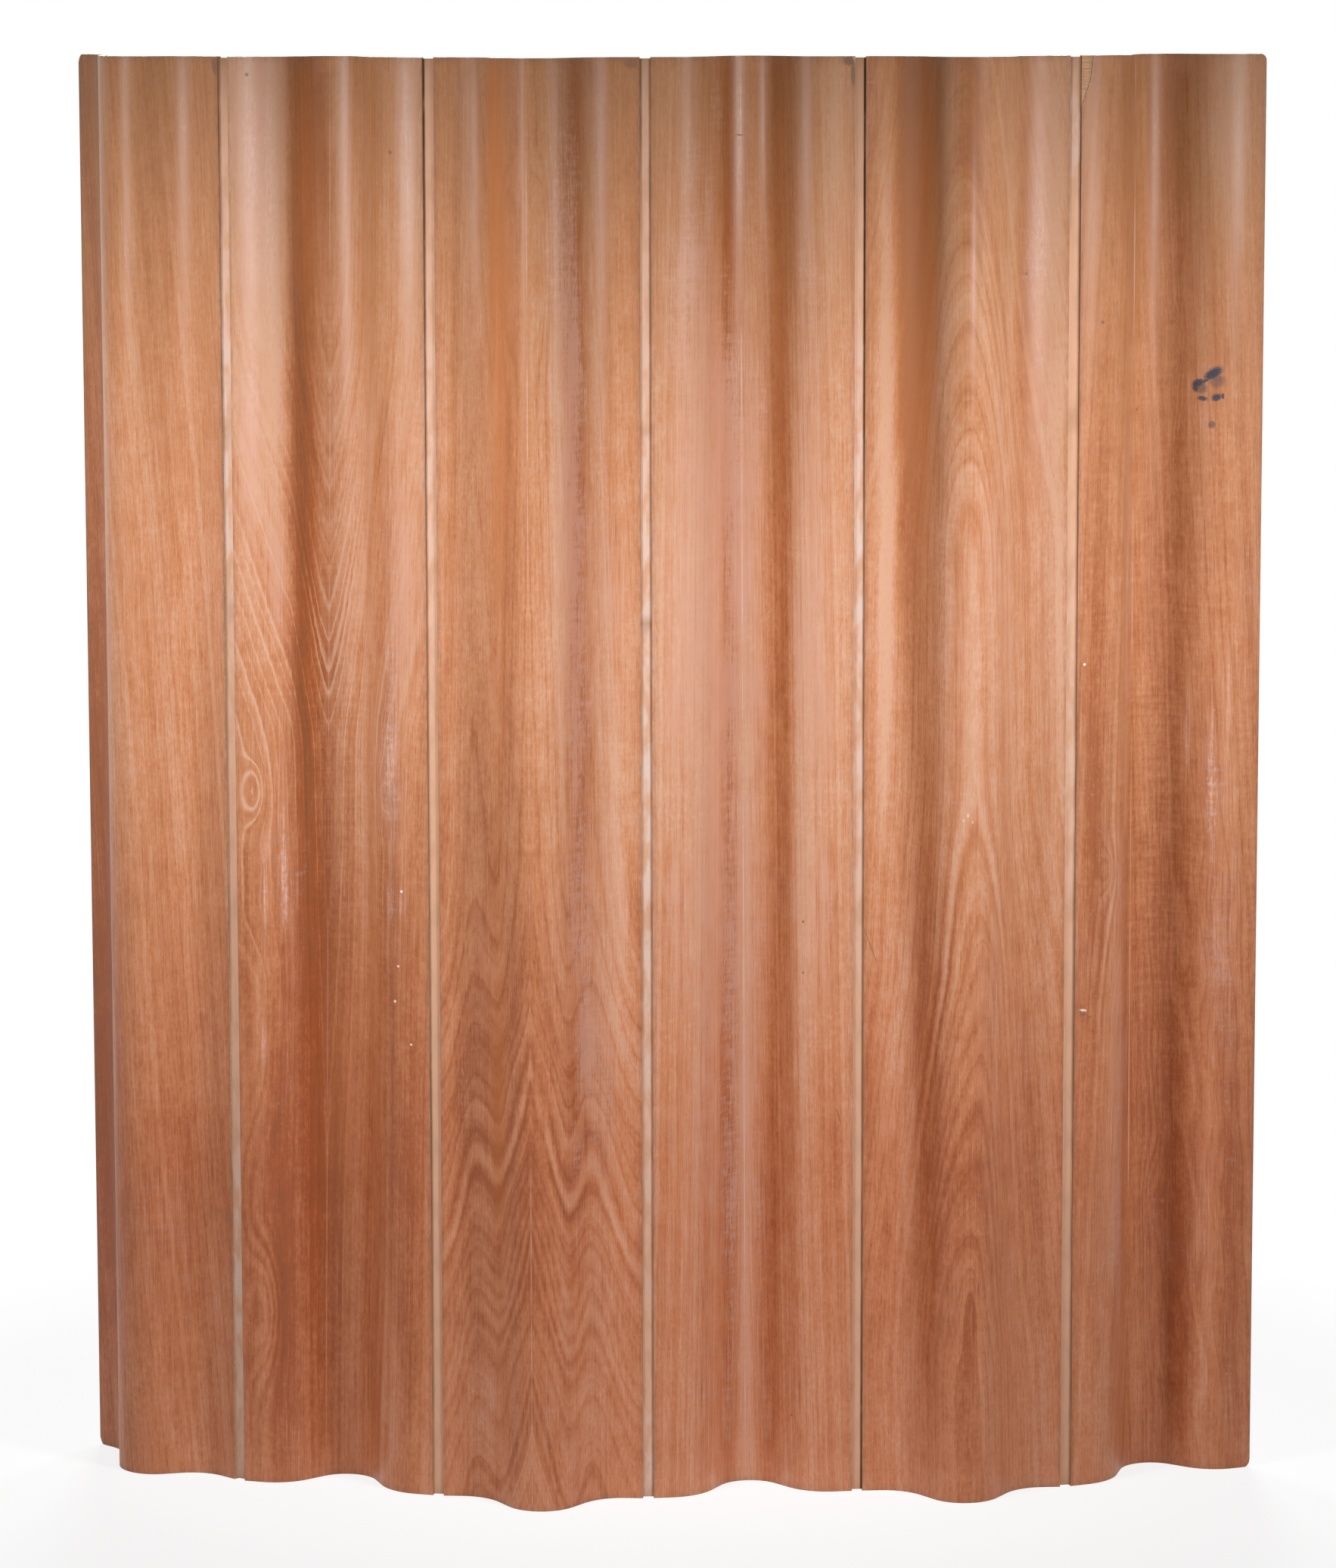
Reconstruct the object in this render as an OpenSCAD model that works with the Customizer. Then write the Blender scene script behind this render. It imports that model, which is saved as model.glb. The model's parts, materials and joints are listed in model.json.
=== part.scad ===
// Folding screen of six moulded plywood panels joined by five canvas hinges.
// Seen from above, each panel is a flat sheet with one rounded wave pressed into it.
// The waves point forwards and backwards by turns, so the screen stands by itself,
// and folded up they nest in each other. Panels count from the left, seen from the front,
// which faces -Y. The origin is on the floor at the middle of the screen's footprint.

/* [Panel] */
// Height of the screen
height = 1727; // [1200:1:2100]
// Width of one panel, edge to edge
panel_w = 241.3; // [230:0.1:300]
// Thickness of each of the three inner plies: the core and a crossband on each side of it
ply_t = 1.5; // [1.3:0.05:1.7]
// Thickness of each face veneer
veneer_t = 0.95; // [0.6:0.05:1.4]
// Radius of the two outer corners at the free ends of the screen
corner_r = 8; // [2:1:20]

/* [Wave] */
// How far the middle of the wave stands out of the panel's flat edges
wave_depth = 62; // [54:1:66]
// Bend radius at the crown of the wave, at mid thickness
crown_r = 44; // [36:1:48]
// Bend radius where the wave runs out into the flat edges, at mid thickness
fillet_r = 60; // [50:1:66]
// Slope of the wave's walls, counted from the flat edges
wall_angle = 54; // [48:1:55]

/* [Canvas hinges] */
// Gap between the edges of two panels
hinge_gap = 12.7; // [12:0.1:20]
// Thickness of the canvas
canvas_t = 1.1; // [0.7:0.05:1.2]
// How far the canvas stops short of the panels' ends
canvas_short = 1.5; // [0:0.5:10]
// How far the core stops short of a hinged edge, which leaves a slot for the canvas
slot_depth = 18; // [10:1:18]
// Space between the core and the end of the canvas in its slot
slot_spare = 0.5; // [0.2:0.1:2]
// How far the glued canvas shows out of the panel's edge
canvas_proud = 0.1; // [0:0.05:0.3]
// Running clearance beside each bend line of the canvas
bend_gap = 0.05; // [0.02:0.01:0.2]

/* [Standing pose] */
// Heading of the first panel, counted from straight across and positive towards the back
first_heading = -41.5; // [-60:0.5:60]
// Turn from panel 1 to panel 2
turn_1 = 26; // [-60:0.5:60]
// Turn from panel 2 to panel 3
turn_2 = 12.5; // [-60:0.5:60]
// Turn from panel 3 to panel 4
turn_3 = 10; // [-60:0.5:60]
// Turn from panel 4 to panel 5
turn_4 = -3.5; // [-60:0.5:60]
// Turn from panel 5 to panel 6
turn_5 = 17; // [-60:0.5:60]

/* [Hidden] */
$fn = 96;
PANELS = [1:6];
HINGES = [1:5];
FORWARDS = -1;
BACKWARDS = 1;
LEFT = -1;
RIGHT = 1;
turns = [turn_1, turn_2, turn_3, turn_4, turn_5];
wood = [0.72, 0.47, 0.33];
crossband_wood = [0.70, 0.54, 0.38];
core_wood = [0.80, 0.64, 0.46];
canvas = [0.80, 0.68, 0.53];

// Distances from mid thickness to the glue lines of a panel, and to its faces
core_face = ply_t / 2;
crossband_face = core_face + ply_t;
panel_face = crossband_face + veneer_t;
panel_t = 2 * panel_face;
// The bend line of the canvas lies this far out of the panel's edge.
bend_out = canvas_proud + canvas_t / 2 + bend_gap;
// Distance between the two bend lines of one hinge
web_w = hinge_gap - 2 * bend_out;
reach = panel_w / 2 + bend_out;
// The straight walls take up what the two bends leave of the wave's depth.
wall_rise = wave_depth - (crown_r + fillet_r) * (1 - cos(wall_angle));
wave_half = (crown_r + fillet_r) * sin(wall_angle) + wall_rise / tan(wall_angle);
crown_centre = [0, wave_depth - crown_r];
wall_normal = [sin(wall_angle), cos(wall_angle)];
// The bends are this much fuller than tangents, so that they cut into the straight walls.
tangent_bite = 0.002;
// How far a cutting shape runs past what it cuts
over = 1;
// Steps along the outside of a crown at which the footprint is measured
crown_step = 3;

// Odd panels have their wave towards the front, even ones towards the back.
function bow(k) = k % 2 == 1 ? FORWARDS : BACKWARDS;
function heading(k) = k == 1 ? first_heading : heading(k - 1) + turns[k - 2];
function web_heading(k) = (heading(k) + heading(k + 1)) / 2;
function ray(angle, length) = length * [cos(angle), sin(angle)];
// From the middle of panel k to the middle of panel k + 1, over the hinge between them
function step_over(k) = ray(heading(k), reach) + ray(web_heading(k), web_w) + ray(heading(k + 1), reach);
function chain(k) = k == 1 ? [0, 0] : chain(k - 1) + step_over(k - 1);

// Outermost points of a panel in plan: its four corners and the outside of its crown
function turned(p, angle) = [p.x * cos(angle) - p.y * sin(angle), p.x * sin(angle) + p.y * cos(angle)];
function plan_points(k) = concat(
    [for (side = [LEFT, RIGHT], face = [FORWARDS, BACKWARDS])
        chain(k) + turned([side * panel_w / 2, face * panel_face], heading(k))],
    [for (a = [-wall_angle:crown_step:wall_angle])
        chain(k) + turned(bow(k) * (crown_centre + (crown_r + panel_face) * [sin(a), cos(a)]), heading(k))]
);
footprint = [for (k = PANELS) each plan_points(k)];
origin = [for (axis = [0, 1])
    (min([for (p = footprint) p[axis]]) + max([for (p = footprint) p[axis]])) / 2];

function centre(k) = chain(k) - origin;
// The bend lines of hinge k: the one at panel k and the one at panel k + 1
function left_bend(k) = centre(k) + ray(heading(k), reach);
function right_bend(k) = centre(k + 1) - ray(heading(k + 1), reach);

// Right half of a line that runs along the sheet at one distance from mid thickness, counted
// towards the side that the wave stands out to. The ends of its bends are joined by chords.
function right_line(distance, end) = [
    [end, distance],
    [wave_half, distance],
    [wave_half, fillet_r] - (fillet_r - distance) * wall_normal,
    crown_centre + (crown_r + distance) * wall_normal
];
function mirrored(line) = [for (i = [len(line) - 1:-1:0]) [-line[i].x, line[i].y]];

// Everything on the flat side of that line, with the chords rounded into the true bends
module behind(distance, spare) {
    end = panel_w / 2 + spare;
    right = right_line(distance, end);
    back = -wave_depth - spare;
    difference() {
        union() {
            polygon(concat([[end, back]], right, mirrored(right), [[-end, back]]));
            translate(crown_centre)
                circle(r = crown_r + distance + tangent_bite);
        }
        for (side = [LEFT, RIGHT])
            translate([side * wave_half, fillet_r])
                circle(r = fillet_r - distance + tangent_bite);
    }
}

// One layer of the sheet in plan, between two distances from mid thickness
module layer(low, high) {
    difference() {
        behind(high, 0);
        behind(low, over);
    }
}

module at_panel(k) {
    translate(centre(k))
        rotate(heading(k))
            children();
}

// One layer of panel k. Its two faces are given as distances from mid thickness, towards the back.
module ply(k, front, back) {
    rotate(bow(k) == BACKWARDS ? 0 : 180)
        linear_extrude(height = height)
            if (bow(k) == BACKWARDS)
                layer(front, back);
            else
                layer(-back, -front);
}

// What is cut off an upper or lower corner to round it
module corner_waste(side, up) {
    translate([side * panel_w / 2, 0, up > 0 ? height : 0])
        difference() {
            cube([2 * corner_r, panel_t + over, 2 * corner_r], center = true);
            translate([-side * corner_r, 0, -up * corner_r])
                rotate([90, 0, 0])
                    cylinder(r = corner_r, h = panel_t + 2 * over, center = true);
            translate([-side * corner_r * 1.5, 0, 0])
                cube([corner_r, panel_t + 2 * over, 3 * corner_r], center = true);
            translate([0, 0, -up * corner_r * 1.5])
                cube([3 * corner_r, panel_t + 2 * over, corner_r], center = true);
        }
}

module shaped_ply(k, front, back) {
    at_panel(k)
        difference() {
            ply(k, front, back);
            for (up = [-1, 1]) {
                if (k == 1)
                    corner_waste(LEFT, up);
                if (k == 6)
                    corner_waste(RIGHT, up);
            }
        }
}

module front_veneer(k) {
    color(wood)
        shaped_ply(k, -panel_face, -crossband_face);
}

module front_crossband(k) {
    color(crossband_wood)
        shaped_ply(k, -crossband_face, -core_face);
}

module back_crossband(k) {
    color(crossband_wood)
        shaped_ply(k, core_face, crossband_face);
}

module back_veneer(k) {
    color(wood)
        shaped_ply(k, crossband_face, panel_face);
}

// What the core leaves free along a hinged edge, for the canvas
module slot(side) {
    translate([side * (panel_w / 2 - slot_depth / 2 + over / 2), 0, height / 2])
        cube([slot_depth + over, panel_t, height + 2 * over], center = true);
}

module core(k) {
    color(core_wood)
        difference() {
            shaped_ply(k, -core_face, core_face);
            at_panel(k) {
                if (k > 1)
                    slot(LEFT);
                if (k < 6)
                    slot(RIGHT);
            }
        }
}

// The canvas that is glued into the slot of panel k
module tongue(k, side) {
    inner_end = panel_w / 2 - slot_depth + slot_spare;
    outer_end = panel_w / 2 + canvas_proud;
    color(canvas)
        at_panel(k)
            translate([side * (inner_end + outer_end) / 2, 0, height / 2])
                cube([outer_end - inner_end, canvas_t, height - 2 * canvas_short], center = true);
}

// The free canvas between two panels, rounded where it bends
module web(k) {
    color(canvas)
        translate([left_bend(k).x, left_bend(k).y, canvas_short])
            rotate(web_heading(k))
                linear_extrude(height = height - 2 * canvas_short) {
                    translate([0, -canvas_t / 2])
                        square([web_w, canvas_t]);
                    for (x = [0, web_w])
                        translate([x, 0])
                            circle(d = canvas_t, $fn = 24);
                }
}

for (k = PANELS) {
    front_veneer(k);
    front_crossband(k);
    core(k);
    back_crossband(k);
    back_veneer(k);
}
for (k = HINGES) {
    tongue(k, RIGHT);
    web(k);
    tongue(k + 1, LEFT);
}
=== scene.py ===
"""Folding screen of six moulded plywood panels and five canvas hinges, finished for the studio.

Lengths are in millimetres where a panel is worked out, and in metres once they reach a mesh. A panel is
described by its arc, the distance from its middle along mid thickness, its level, the height above the
floor, and its depth, the distance from mid thickness towards the back.
"""
import json
import math

import bpy
import numpy as np
from bpy.props import FloatProperty, FloatVectorProperty, PointerProperty
from mathutils import Matrix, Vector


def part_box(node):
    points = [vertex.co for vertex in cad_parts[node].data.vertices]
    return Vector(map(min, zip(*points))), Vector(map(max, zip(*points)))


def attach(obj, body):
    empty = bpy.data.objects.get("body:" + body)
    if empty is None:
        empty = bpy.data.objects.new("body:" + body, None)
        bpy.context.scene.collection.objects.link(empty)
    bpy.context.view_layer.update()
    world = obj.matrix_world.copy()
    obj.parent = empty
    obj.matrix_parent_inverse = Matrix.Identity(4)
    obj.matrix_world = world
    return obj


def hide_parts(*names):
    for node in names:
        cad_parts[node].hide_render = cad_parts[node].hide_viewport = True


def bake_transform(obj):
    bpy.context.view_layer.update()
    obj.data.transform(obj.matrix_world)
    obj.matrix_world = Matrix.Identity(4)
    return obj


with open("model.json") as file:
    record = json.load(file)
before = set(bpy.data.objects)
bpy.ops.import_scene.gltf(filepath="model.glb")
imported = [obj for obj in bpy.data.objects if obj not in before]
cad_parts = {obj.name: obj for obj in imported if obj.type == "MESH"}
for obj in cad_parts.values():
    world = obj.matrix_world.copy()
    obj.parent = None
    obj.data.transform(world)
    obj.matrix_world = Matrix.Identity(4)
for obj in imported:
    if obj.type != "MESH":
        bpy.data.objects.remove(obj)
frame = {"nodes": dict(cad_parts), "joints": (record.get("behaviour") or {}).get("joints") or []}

bl_info = {
    "name": "Moulded plywood folding screen",
    "version": (1, 0, 0),
    "blender": (4, 5, 0),
    "location": "3D View > Sidebar > Screen",
    "description": "Face veneers, inner plies, canvas hinges and a plain studio for a folding screen",
    "category": "Object",
}

PANELS = range(1, 7)
HINGES = range(1, 6)
MM = 0.001
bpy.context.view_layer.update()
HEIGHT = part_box("panel_3_core")[1].z / MM
FRONT, BACK = -1, 1
LEFT, RIGHT = -1, 1


# Settings

def length(name, description, default):
    return FloatProperty(name=name, description=description, default=default,
                         unit="LENGTH", subtype="DISTANCE")


def power(name, description, default):
    return FloatProperty(name=name, description=description, default=default, min=0.0,
                         unit="POWER", subtype="POWER")


def swatch(name, description, default):
    return FloatVectorProperty(name=name, description=description, size=3, default=default, subtype="COLOR")


class SCREEN_PG_panels(bpy.types.PropertyGroup):
    """Sizes of the moulded panels, as the solids have them"""
    width: length("Panel width", "Width of a panel, edge to edge", 0.2413)
    wave_depth: length("Wave depth", "How far the wave stands out of the flat edges", 0.062)
    crown_radius: length("Crown radius", "Bend at the top of the wave, at mid thickness", 0.044)
    fillet_radius: length("Run-out radius", "Bend where the wave meets the flat edges", 0.060)
    wall_angle: FloatProperty(name="Wall angle", description="Slope of the wave's walls",
                              default=math.radians(54), unit="ROTATION", subtype="ANGLE")
    inner_face: length("Glue line", "Distance from mid thickness to the veneer's glue line", 0.00225)
    outer_face: length("Outer face", "Distance from mid thickness to the panel's face", 0.0032)
    bend_out: length("Bend line", "How far out of a panel's edge the canvas bends", 0.0007)
    corner_radius: length("Corner radius", "Corners at the two free ends of the screen", 0.008)
    eased_edge: length("Eased edge", "How far sanding has rounded the veneer's edges", 0.00025)


class SCREEN_PG_finish(bpy.types.PropertyGroup):
    """Colours and gloss of the veneer and the inner plies"""
    pale: swatch("Pale wood", "Faded and rubbed wood", (0.56, 0.31, 0.20))
    warm: swatch("Warm wood", "Most of the veneer", (0.465, 0.187, 0.083))
    deep: swatch("Deep wood", "Deep red-brown wood", (0.30, 0.083, 0.023))
    # Painted shade: the darkest wood lies mostly on walls of the waves that face away from the lamps.
    dark: swatch("Dark wood", "Darkest wood, in the hollows", (0.17, 0.060, 0.021))
    russet: swatch("Russet", "Filter that reddens the wood low down", (1.0, 0.87, 0.83))
    # Partly dulled finish and partly painted sheen, the pale glaze that lamp light leaves on lit bends and
    # flats.
    haze: swatch("Haze", "Dulled finish over the wood", (0.54, 0.295, 0.215))
    white: swatch("White", "White specks on the finish", (0.85, 0.76, 0.70))
    # Painted highlights: the whitish bands where the lamps shine back along the bends. Rubbed wear takes the
    # same colour, and so does the seam line, a painted highlight on the joint.
    bloom: swatch("Bloom", "Whitish bloom along the bends that stand out", (0.76, 0.53, 0.47))
    # Painted shade: the fuller orange of walls that face away from the lamps, where no sheen lies.
    shade_amber: swatch("Amber", "Clear finish, where the colour is fullest", (0.52, 0.175, 0.052))
    # Painted shade: darker olive-brown towards the top of the panels.
    tan: swatch("Tan", "Sun-tanned wood at the top of the panels", (0.33, 0.155, 0.060))
    grime: swatch("Grime", "Soiled edges and pores", (0.13, 0.07, 0.04))
    ink: swatch("Ink", "Blue-grey spots", (0.03, 0.035, 0.055))
    roughness: FloatProperty(name="Roughness", description="Roughness of the finish", default=0.35,
                             min=0.0, max=1.0, subtype="FACTOR")
    inner: swatch("Inner ply", "Raw wood of the inner plies", (0.56, 0.30, 0.155))


class SCREEN_PG_canvas(bpy.types.PropertyGroup):
    """Cloth of the hinges"""
    thickness: length("Thickness", "Thickness of the canvas", 0.0011)
    short: length("Short of the ends", "How far the canvas stops short of top and bottom", 0.0015)
    tongue: length("Glued width", "Width of the canvas that is glued into a panel", 0.0176)
    proud: length("Proud of the edge", "How far the glued canvas shows out of the edge", 0.0001)
    bend_radius: length("Bend", "How softly the canvas turns at a bend line", 0.0006)
    thread: length("Thread pitch", "Distance between two threads", 0.0009)
    colour: swatch("Canvas", "Unbleached canvas", (0.67, 0.375, 0.24))
    bleached: swatch("Bleached canvas", "Canvas that light has bleached", (0.70, 0.55, 0.50))
    stain: swatch("Stain", "Stained canvas", (0.36, 0.19, 0.10))
    # Painted shadow in the gap between the canvas and a panel's edge.
    slit: swatch("Slit", "Dark slit between the canvas and a panel", (0.07, 0.03, 0.015))


class SCREEN_PG_studio(bpy.types.PropertyGroup):
    """Light, floor and camera"""
    surround: FloatProperty(name="Surround", description="Light from all around", default=0.17, min=0.0)
    left_lamp: power("Left lamp", "Power of the left lamp", 190.0)
    right_lamp: power("Right lamp", "Power of the right lamp", 277.0)
    back_lamps: power("Back lamps", "Power of each lamp behind the screen", 200.0)
    floor: swatch("Floor", "Pale studio floor", (0.90, 0.90, 0.90))


# Shape of a panel

def smooth(low, high, values):
    """Smoothstep: 0 below low, 1 above high, 3t^2 - 2t^3 between. low may be above high."""
    t = np.clip((values - low) / (high - low), 0, 1)
    return t * t * (3 - 2 * t)


def hump(middle, half, values):
    """Bell curve exp(-t^2), with t the distance from its middle over its half width."""
    return np.exp(-((values - middle) / half) ** 2)


def eased(low, high, values):
    """Integral of smooth: 0 below low, (high - low)(t^3 - t^4 / 2) between, slope 1 above high."""
    t = np.clip((values - low) / (high - low), 0, 1)
    return (high - low) * (t ** 3 - t ** 4 / 2) + np.maximum(values - high, 0)


def waypoints(places, heights, values):
    """Curve through waypoints, with a smoothstep between each two and flat past the ends."""
    places, heights = np.array(places, float), np.array(heights, float)
    i = np.clip(np.searchsorted(places, values) - 1, 0, len(places) - 2)
    t = np.clip((values - places[i]) / (places[i + 1] - places[i]), 0, 1)
    return heights[i] + (heights[i + 1] - heights[i]) * t * t * (3 - 2 * t)


def bow(k):
    """The wave of an odd panel stands out to the front, that of an even one to the back."""
    return FRONT if k % 2 else BACK


def half_arc(s):
    """Half the panel's developed width: crown arc, straight wall, run-out arc and flat edge."""
    crown, fillet, wall = s.crown_radius / MM, s.fillet_radius / MM, s.wall_angle
    rise = s.wave_depth / MM - (crown + fillet) * (1 - math.cos(wall))
    run = (crown + fillet) * math.sin(wall) + rise / math.tan(wall)
    return (crown + fillet) * wall + rise / math.sin(wall) + s.width / MM / 2 - run


def section(s, arc, out):
    """Section of a panel with its wave up, in its own x and y, for arc and a distance out along the normal.

    The slope runs through four stretches each way from the middle: it falls with arc / crown radius to the
    wall's angle, stays there along the wall, rises back with arc / run-out radius, and is flat at the edge.
    """
    crown, fillet, wall, depth = s.crown_radius / MM, s.fillet_radius / MM, s.wall_angle, s.wave_depth / MM
    rise = depth - (crown + fillet) * (1 - math.cos(wall))
    half = (crown + fillet) * math.sin(wall) + rise / math.tan(wall)
    ends = np.cumsum([crown * wall, rise / math.sin(wall), fillet * wall])
    side, a = np.sign(arc), np.abs(arc)
    stretches = [a < ends[0], a < ends[1], a < ends[2]]
    slope = np.select(stretches, [a / crown, wall + 0 * a, (ends[2] - a) / fillet], 0)
    along = a - ends[0]
    x = np.select(stretches, [crown * np.sin(slope), crown * math.sin(wall) + along * math.cos(wall),
                              half - fillet * np.sin(slope)], half + a - ends[2])
    y = np.select(stretches, [depth - crown * (1 - np.cos(slope)),
                              depth - crown * (1 - math.cos(wall)) - along * math.sin(wall),
                              fillet * (1 - np.cos(slope))], 0)
    return side * (x + out * np.sin(slope)), y + out * np.cos(slope)


def bend_lines():
    """Plan points of every hinge's two bend lines in mm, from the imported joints: {k: (left, right)}."""
    spots = {}
    for joint in frame["joints"]:
        spots.setdefault(int(joint["name"].split("_")[1]), []).append(np.array(joint["pos_m"][:2]) / MM)
    return {k: sorted(pair, key=lambda p: p[0]) for k, pair in spots.items()}


def angle_of(vector):
    return math.atan2(vector[1], vector[0])


def placements(s):
    """Plan centre in mm and heading in radians of each panel.

    A middle panel lies between the right bend line of one hinge and the left one of the next. The canvas
    halves the turn between two panels, which gives the two end panels their headings.
    """
    bends = bend_lines()
    reach = (s.width / 2 + s.bend_out) / MM
    headings = {k: angle_of(bends[k][0] - bends[k - 1][1]) for k in PANELS if 1 < k < 6}
    headings[1] = 2 * angle_of(bends[1][1] - bends[1][0]) - headings[2]
    headings[6] = 2 * angle_of(bends[5][1] - bends[5][0]) - headings[5]
    centres = {}
    for k in PANELS:
        ray = np.array([math.cos(headings[k]), math.sin(headings[k])])
        centres[k] = bends[k][0] - reach * ray if k < 6 else bends[5][1] + reach * ray
    return centres, headings


def on_panel(s, k, arc, level, depth):
    """Row frame points in metres of panel k, for arrays of arc, level and depth in mm."""
    centres, headings = placements(s)
    x, y = section(s, arc, bow(k) * depth)
    y = bow(k) * y
    c, n = math.cos(headings[k]), math.sin(headings[k])
    return np.stack([centres[k][0] + c * x - n * y, centres[k][1] + n * x + c * y,
                     np.broadcast_to(level, x.shape)], axis=-1) * MM


# Figure of the veneer

# Where the two book-matched leaves of a panel meet: levels, and the arc of the seam at each.
SEAMS = {
    2: ((0, 1250, 1727), (-39, -19.5, -14.5)),
    3: ((0, 1727), (-8, -7)),
    4: ((0, 1727), (-1, -7.5)),
    6: ((0, 1000, 1727), (-22, -26.5, -31)),
}
# How narrow and faint the pale line of a seam is, from 1 up. The line is a painted highlight on the joint's
# ridge.
SEAM_FADE = {2: 3.0, 3: 1.6, 4: 1.6, 6: 0.8}
# Width of one growth ring across the leaf, in mm
RING_WIDTH = {1: 5.5, 2: 7.5, 3: 8.0, 4: 4.0, 5: 7.0, 6: 6.5}


def seam_arc(k, level):
    return np.interp(level, *SEAMS[k]) if k in SEAMS else np.zeros_like(level)


def growth_1(arc, level):
    """Straight grain that leans: lines of constant arc + level / 12, with a slow sway."""
    return arc + level / 12 + 3 * np.sin(level / 210) + 6 * hump(25, 30, arc) * np.sin(level / 330 + 1)


def growth_2(arc, level, away):
    """Nested V lines on the seam between 900 and 1350: they leave it at a slant and turn steeply up.

    Growth is 1.15 away - 10.5 (1 - exp(-away / 12)), which slants the lines near the seam, less a share of
    the level that carries them across. Low down, bumps make eyes and arches at the edges.
    """
    slant = 1.15 * away - 10.5 * (1 - np.exp(-away / 12))
    slant = slant - 0.5 * np.maximum(away - 52, 0) * smooth(-30, -60, arc)
    climb = 0.21 * (eased(880, 960, level) - eased(1290, 1500, level)) + 0.02 * level
    eyes = 28 * hump(-122, 14, arc) * hump(852, 32, level) + 22 * hump(82, 12, arc) * hump(852, 34, level)
    arches = 22 * hump(-125, 30, arc) * (smooth(720, 600, level) - 1.5 * smooth(560, 330, level))
    drawn = 34 * hump(-118, 22, arc) * hump(215, 80, level) + 14 * hump(51, 18, arc) * smooth(330, 90, level)
    return slant - climb + eyes + arches + drawn + 3 * np.sin(level / 160 + arc / 30)


def growth_3(arc, level, away):
    """Small peaks near the top, and W chevrons from half way down.

    Growth is a share of the level less a W across the panel, with its tallest peak on the seam. The share
    falls from 0.30 to 0.03 on the way up, which draws the chevrons out into ever steeper lines.
    """
    share = 0.30 * level - 0.27 * eased(520, 860, level)
    w = waypoints((-146, -101, -62, -16, 2, 38, 76, 146), (-120, 0, -26, 34, 34, -44, 0, -140), arc)
    cusp = 85 * np.exp(-away / 15)
    small = 26 * hump(-33, 12, arc) * smooth(1300, 1480, level)
    small = small + 22 * hump(9, 10, arc) * smooth(1320, 1500, level)
    ripple = 2.2 * np.sin(level / 31 + arc / 40) * smooth(640, 420, level)
    return share - 0.30 * (w + cusp) - small * smooth(1640, 1540, level) + ripple


def growth_4(arc, level, away):
    """Very straight fine grain, drawn together into a long peak on the seam low down."""
    return away + 0.02 * level + 7 * hump(0, 16, away) * smooth(900, 120, level) + 2 * np.sin(level / 260)


def growth_5(arc, level):
    """Cathedrals on the middle of the panel, steep on the right of their axis and slanting on the left.

    Growth is the distance to the axis, slower near it on the left, plus a share of the level.
    """
    axis = np.interp(level, (0, 250, 640, 830, 1727), (17, 6, 20, 8, -1))
    u = arc - axis
    left, right = (np.sqrt(u * u + 90) - u) / 2, (np.sqrt(u * u + 90) + u) / 2
    off = 0.40 * left + 0.75 * eased(14, 50, left) + 1.15 * right
    climb = 0.15 * eased(120, 200, level) - 0.13 * eased(800, 900, level) + 0.20 * eased(1120, 1240, level)
    eye = -14 * hump(4, 12, arc) * hump(245, 55, level)
    return off + climb + eye + 4 * np.sin(arc / 26 + level / 260)


def growth_6(arc, level, away):
    """Straight leaves that open downwards, with an eye high up on the right one, a curl on the left one."""
    eye = -20 * hump(37, 9, arc) * hump(1384, 30, level) + 14 * hump(39, 12, arc) * smooth(1330, 1240, level)
    curl = 22 * hump(-100, 14, arc) * hump(755, 30, level) - 20 * hump(-88, 26, arc) * smooth(730, 560, level)
    vee = 22 * hump(14, 17, arc) * smooth(420, 300, level)
    wild = 5 * np.sin(level / 26 + arc / 14) * hump(70, 60, arc) * smooth(950, 700, level)
    return away * 0.9 + 0.05 * level + eye + curl + vee + wild + 3 * np.sin(level / 190 + arc / 60)


def growth_back(k, arc, level):
    """Plainer leaves of the back: leaning straight grain that opens into one long cathedral."""
    turn = 1.7 * k
    axis = 18 * math.sin(turn) + 10 * np.sin(level / 420 + turn)
    off = np.sqrt((arc - axis) ** 2 + 400)
    opened = 0.10 * level * smooth(200 + 60 * k, 900 + 60 * k, level)
    return off + opened + 4 * np.sin(level / 230 + arc / 50 + turn)


FIGURES = {1: growth_1, 2: growth_2, 3: growth_3, 4: growth_4, 5: growth_5, 6: growth_6}


def growth(k, face, arc, level):
    """Distance grown in mm since the leaf's first ring. Equal values make the lines of the figure."""
    if face == BACK:
        return growth_back(k, arc, level)
    if k in SEAMS:
        return FIGURES[k](arc, level, np.abs(arc - seam_arc(k, level)))
    return FIGURES[k](arc, level)


# How deep the wood's colour is down each panel: levels, and tones from 0, pale, to 1, deep
TONE_LEVELS = (0, 150, 400, 700, 1050, 1350, 1650, 1727)
TONES = {
    1: (0.52, 0.60, 0.74, 0.60, 0.48, 0.50, 0.66, 0.70),
    2: (0.52, 0.60, 0.80, 0.70, 0.50, 0.42, 0.46, 0.54),
    3: (0.55, 0.58, 0.76, 0.68, 0.52, 0.55, 0.66, 0.70),
    4: (0.40, 0.46, 0.50, 0.42, 0.34, 0.42, 0.56, 0.62),
    5: (0.50, 0.58, 0.78, 0.58, 0.40, 0.44, 0.52, 0.60),
    6: (0.50, 0.56, 0.70, 0.72, 0.58, 0.58, 0.60, 0.64),
}
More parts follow.
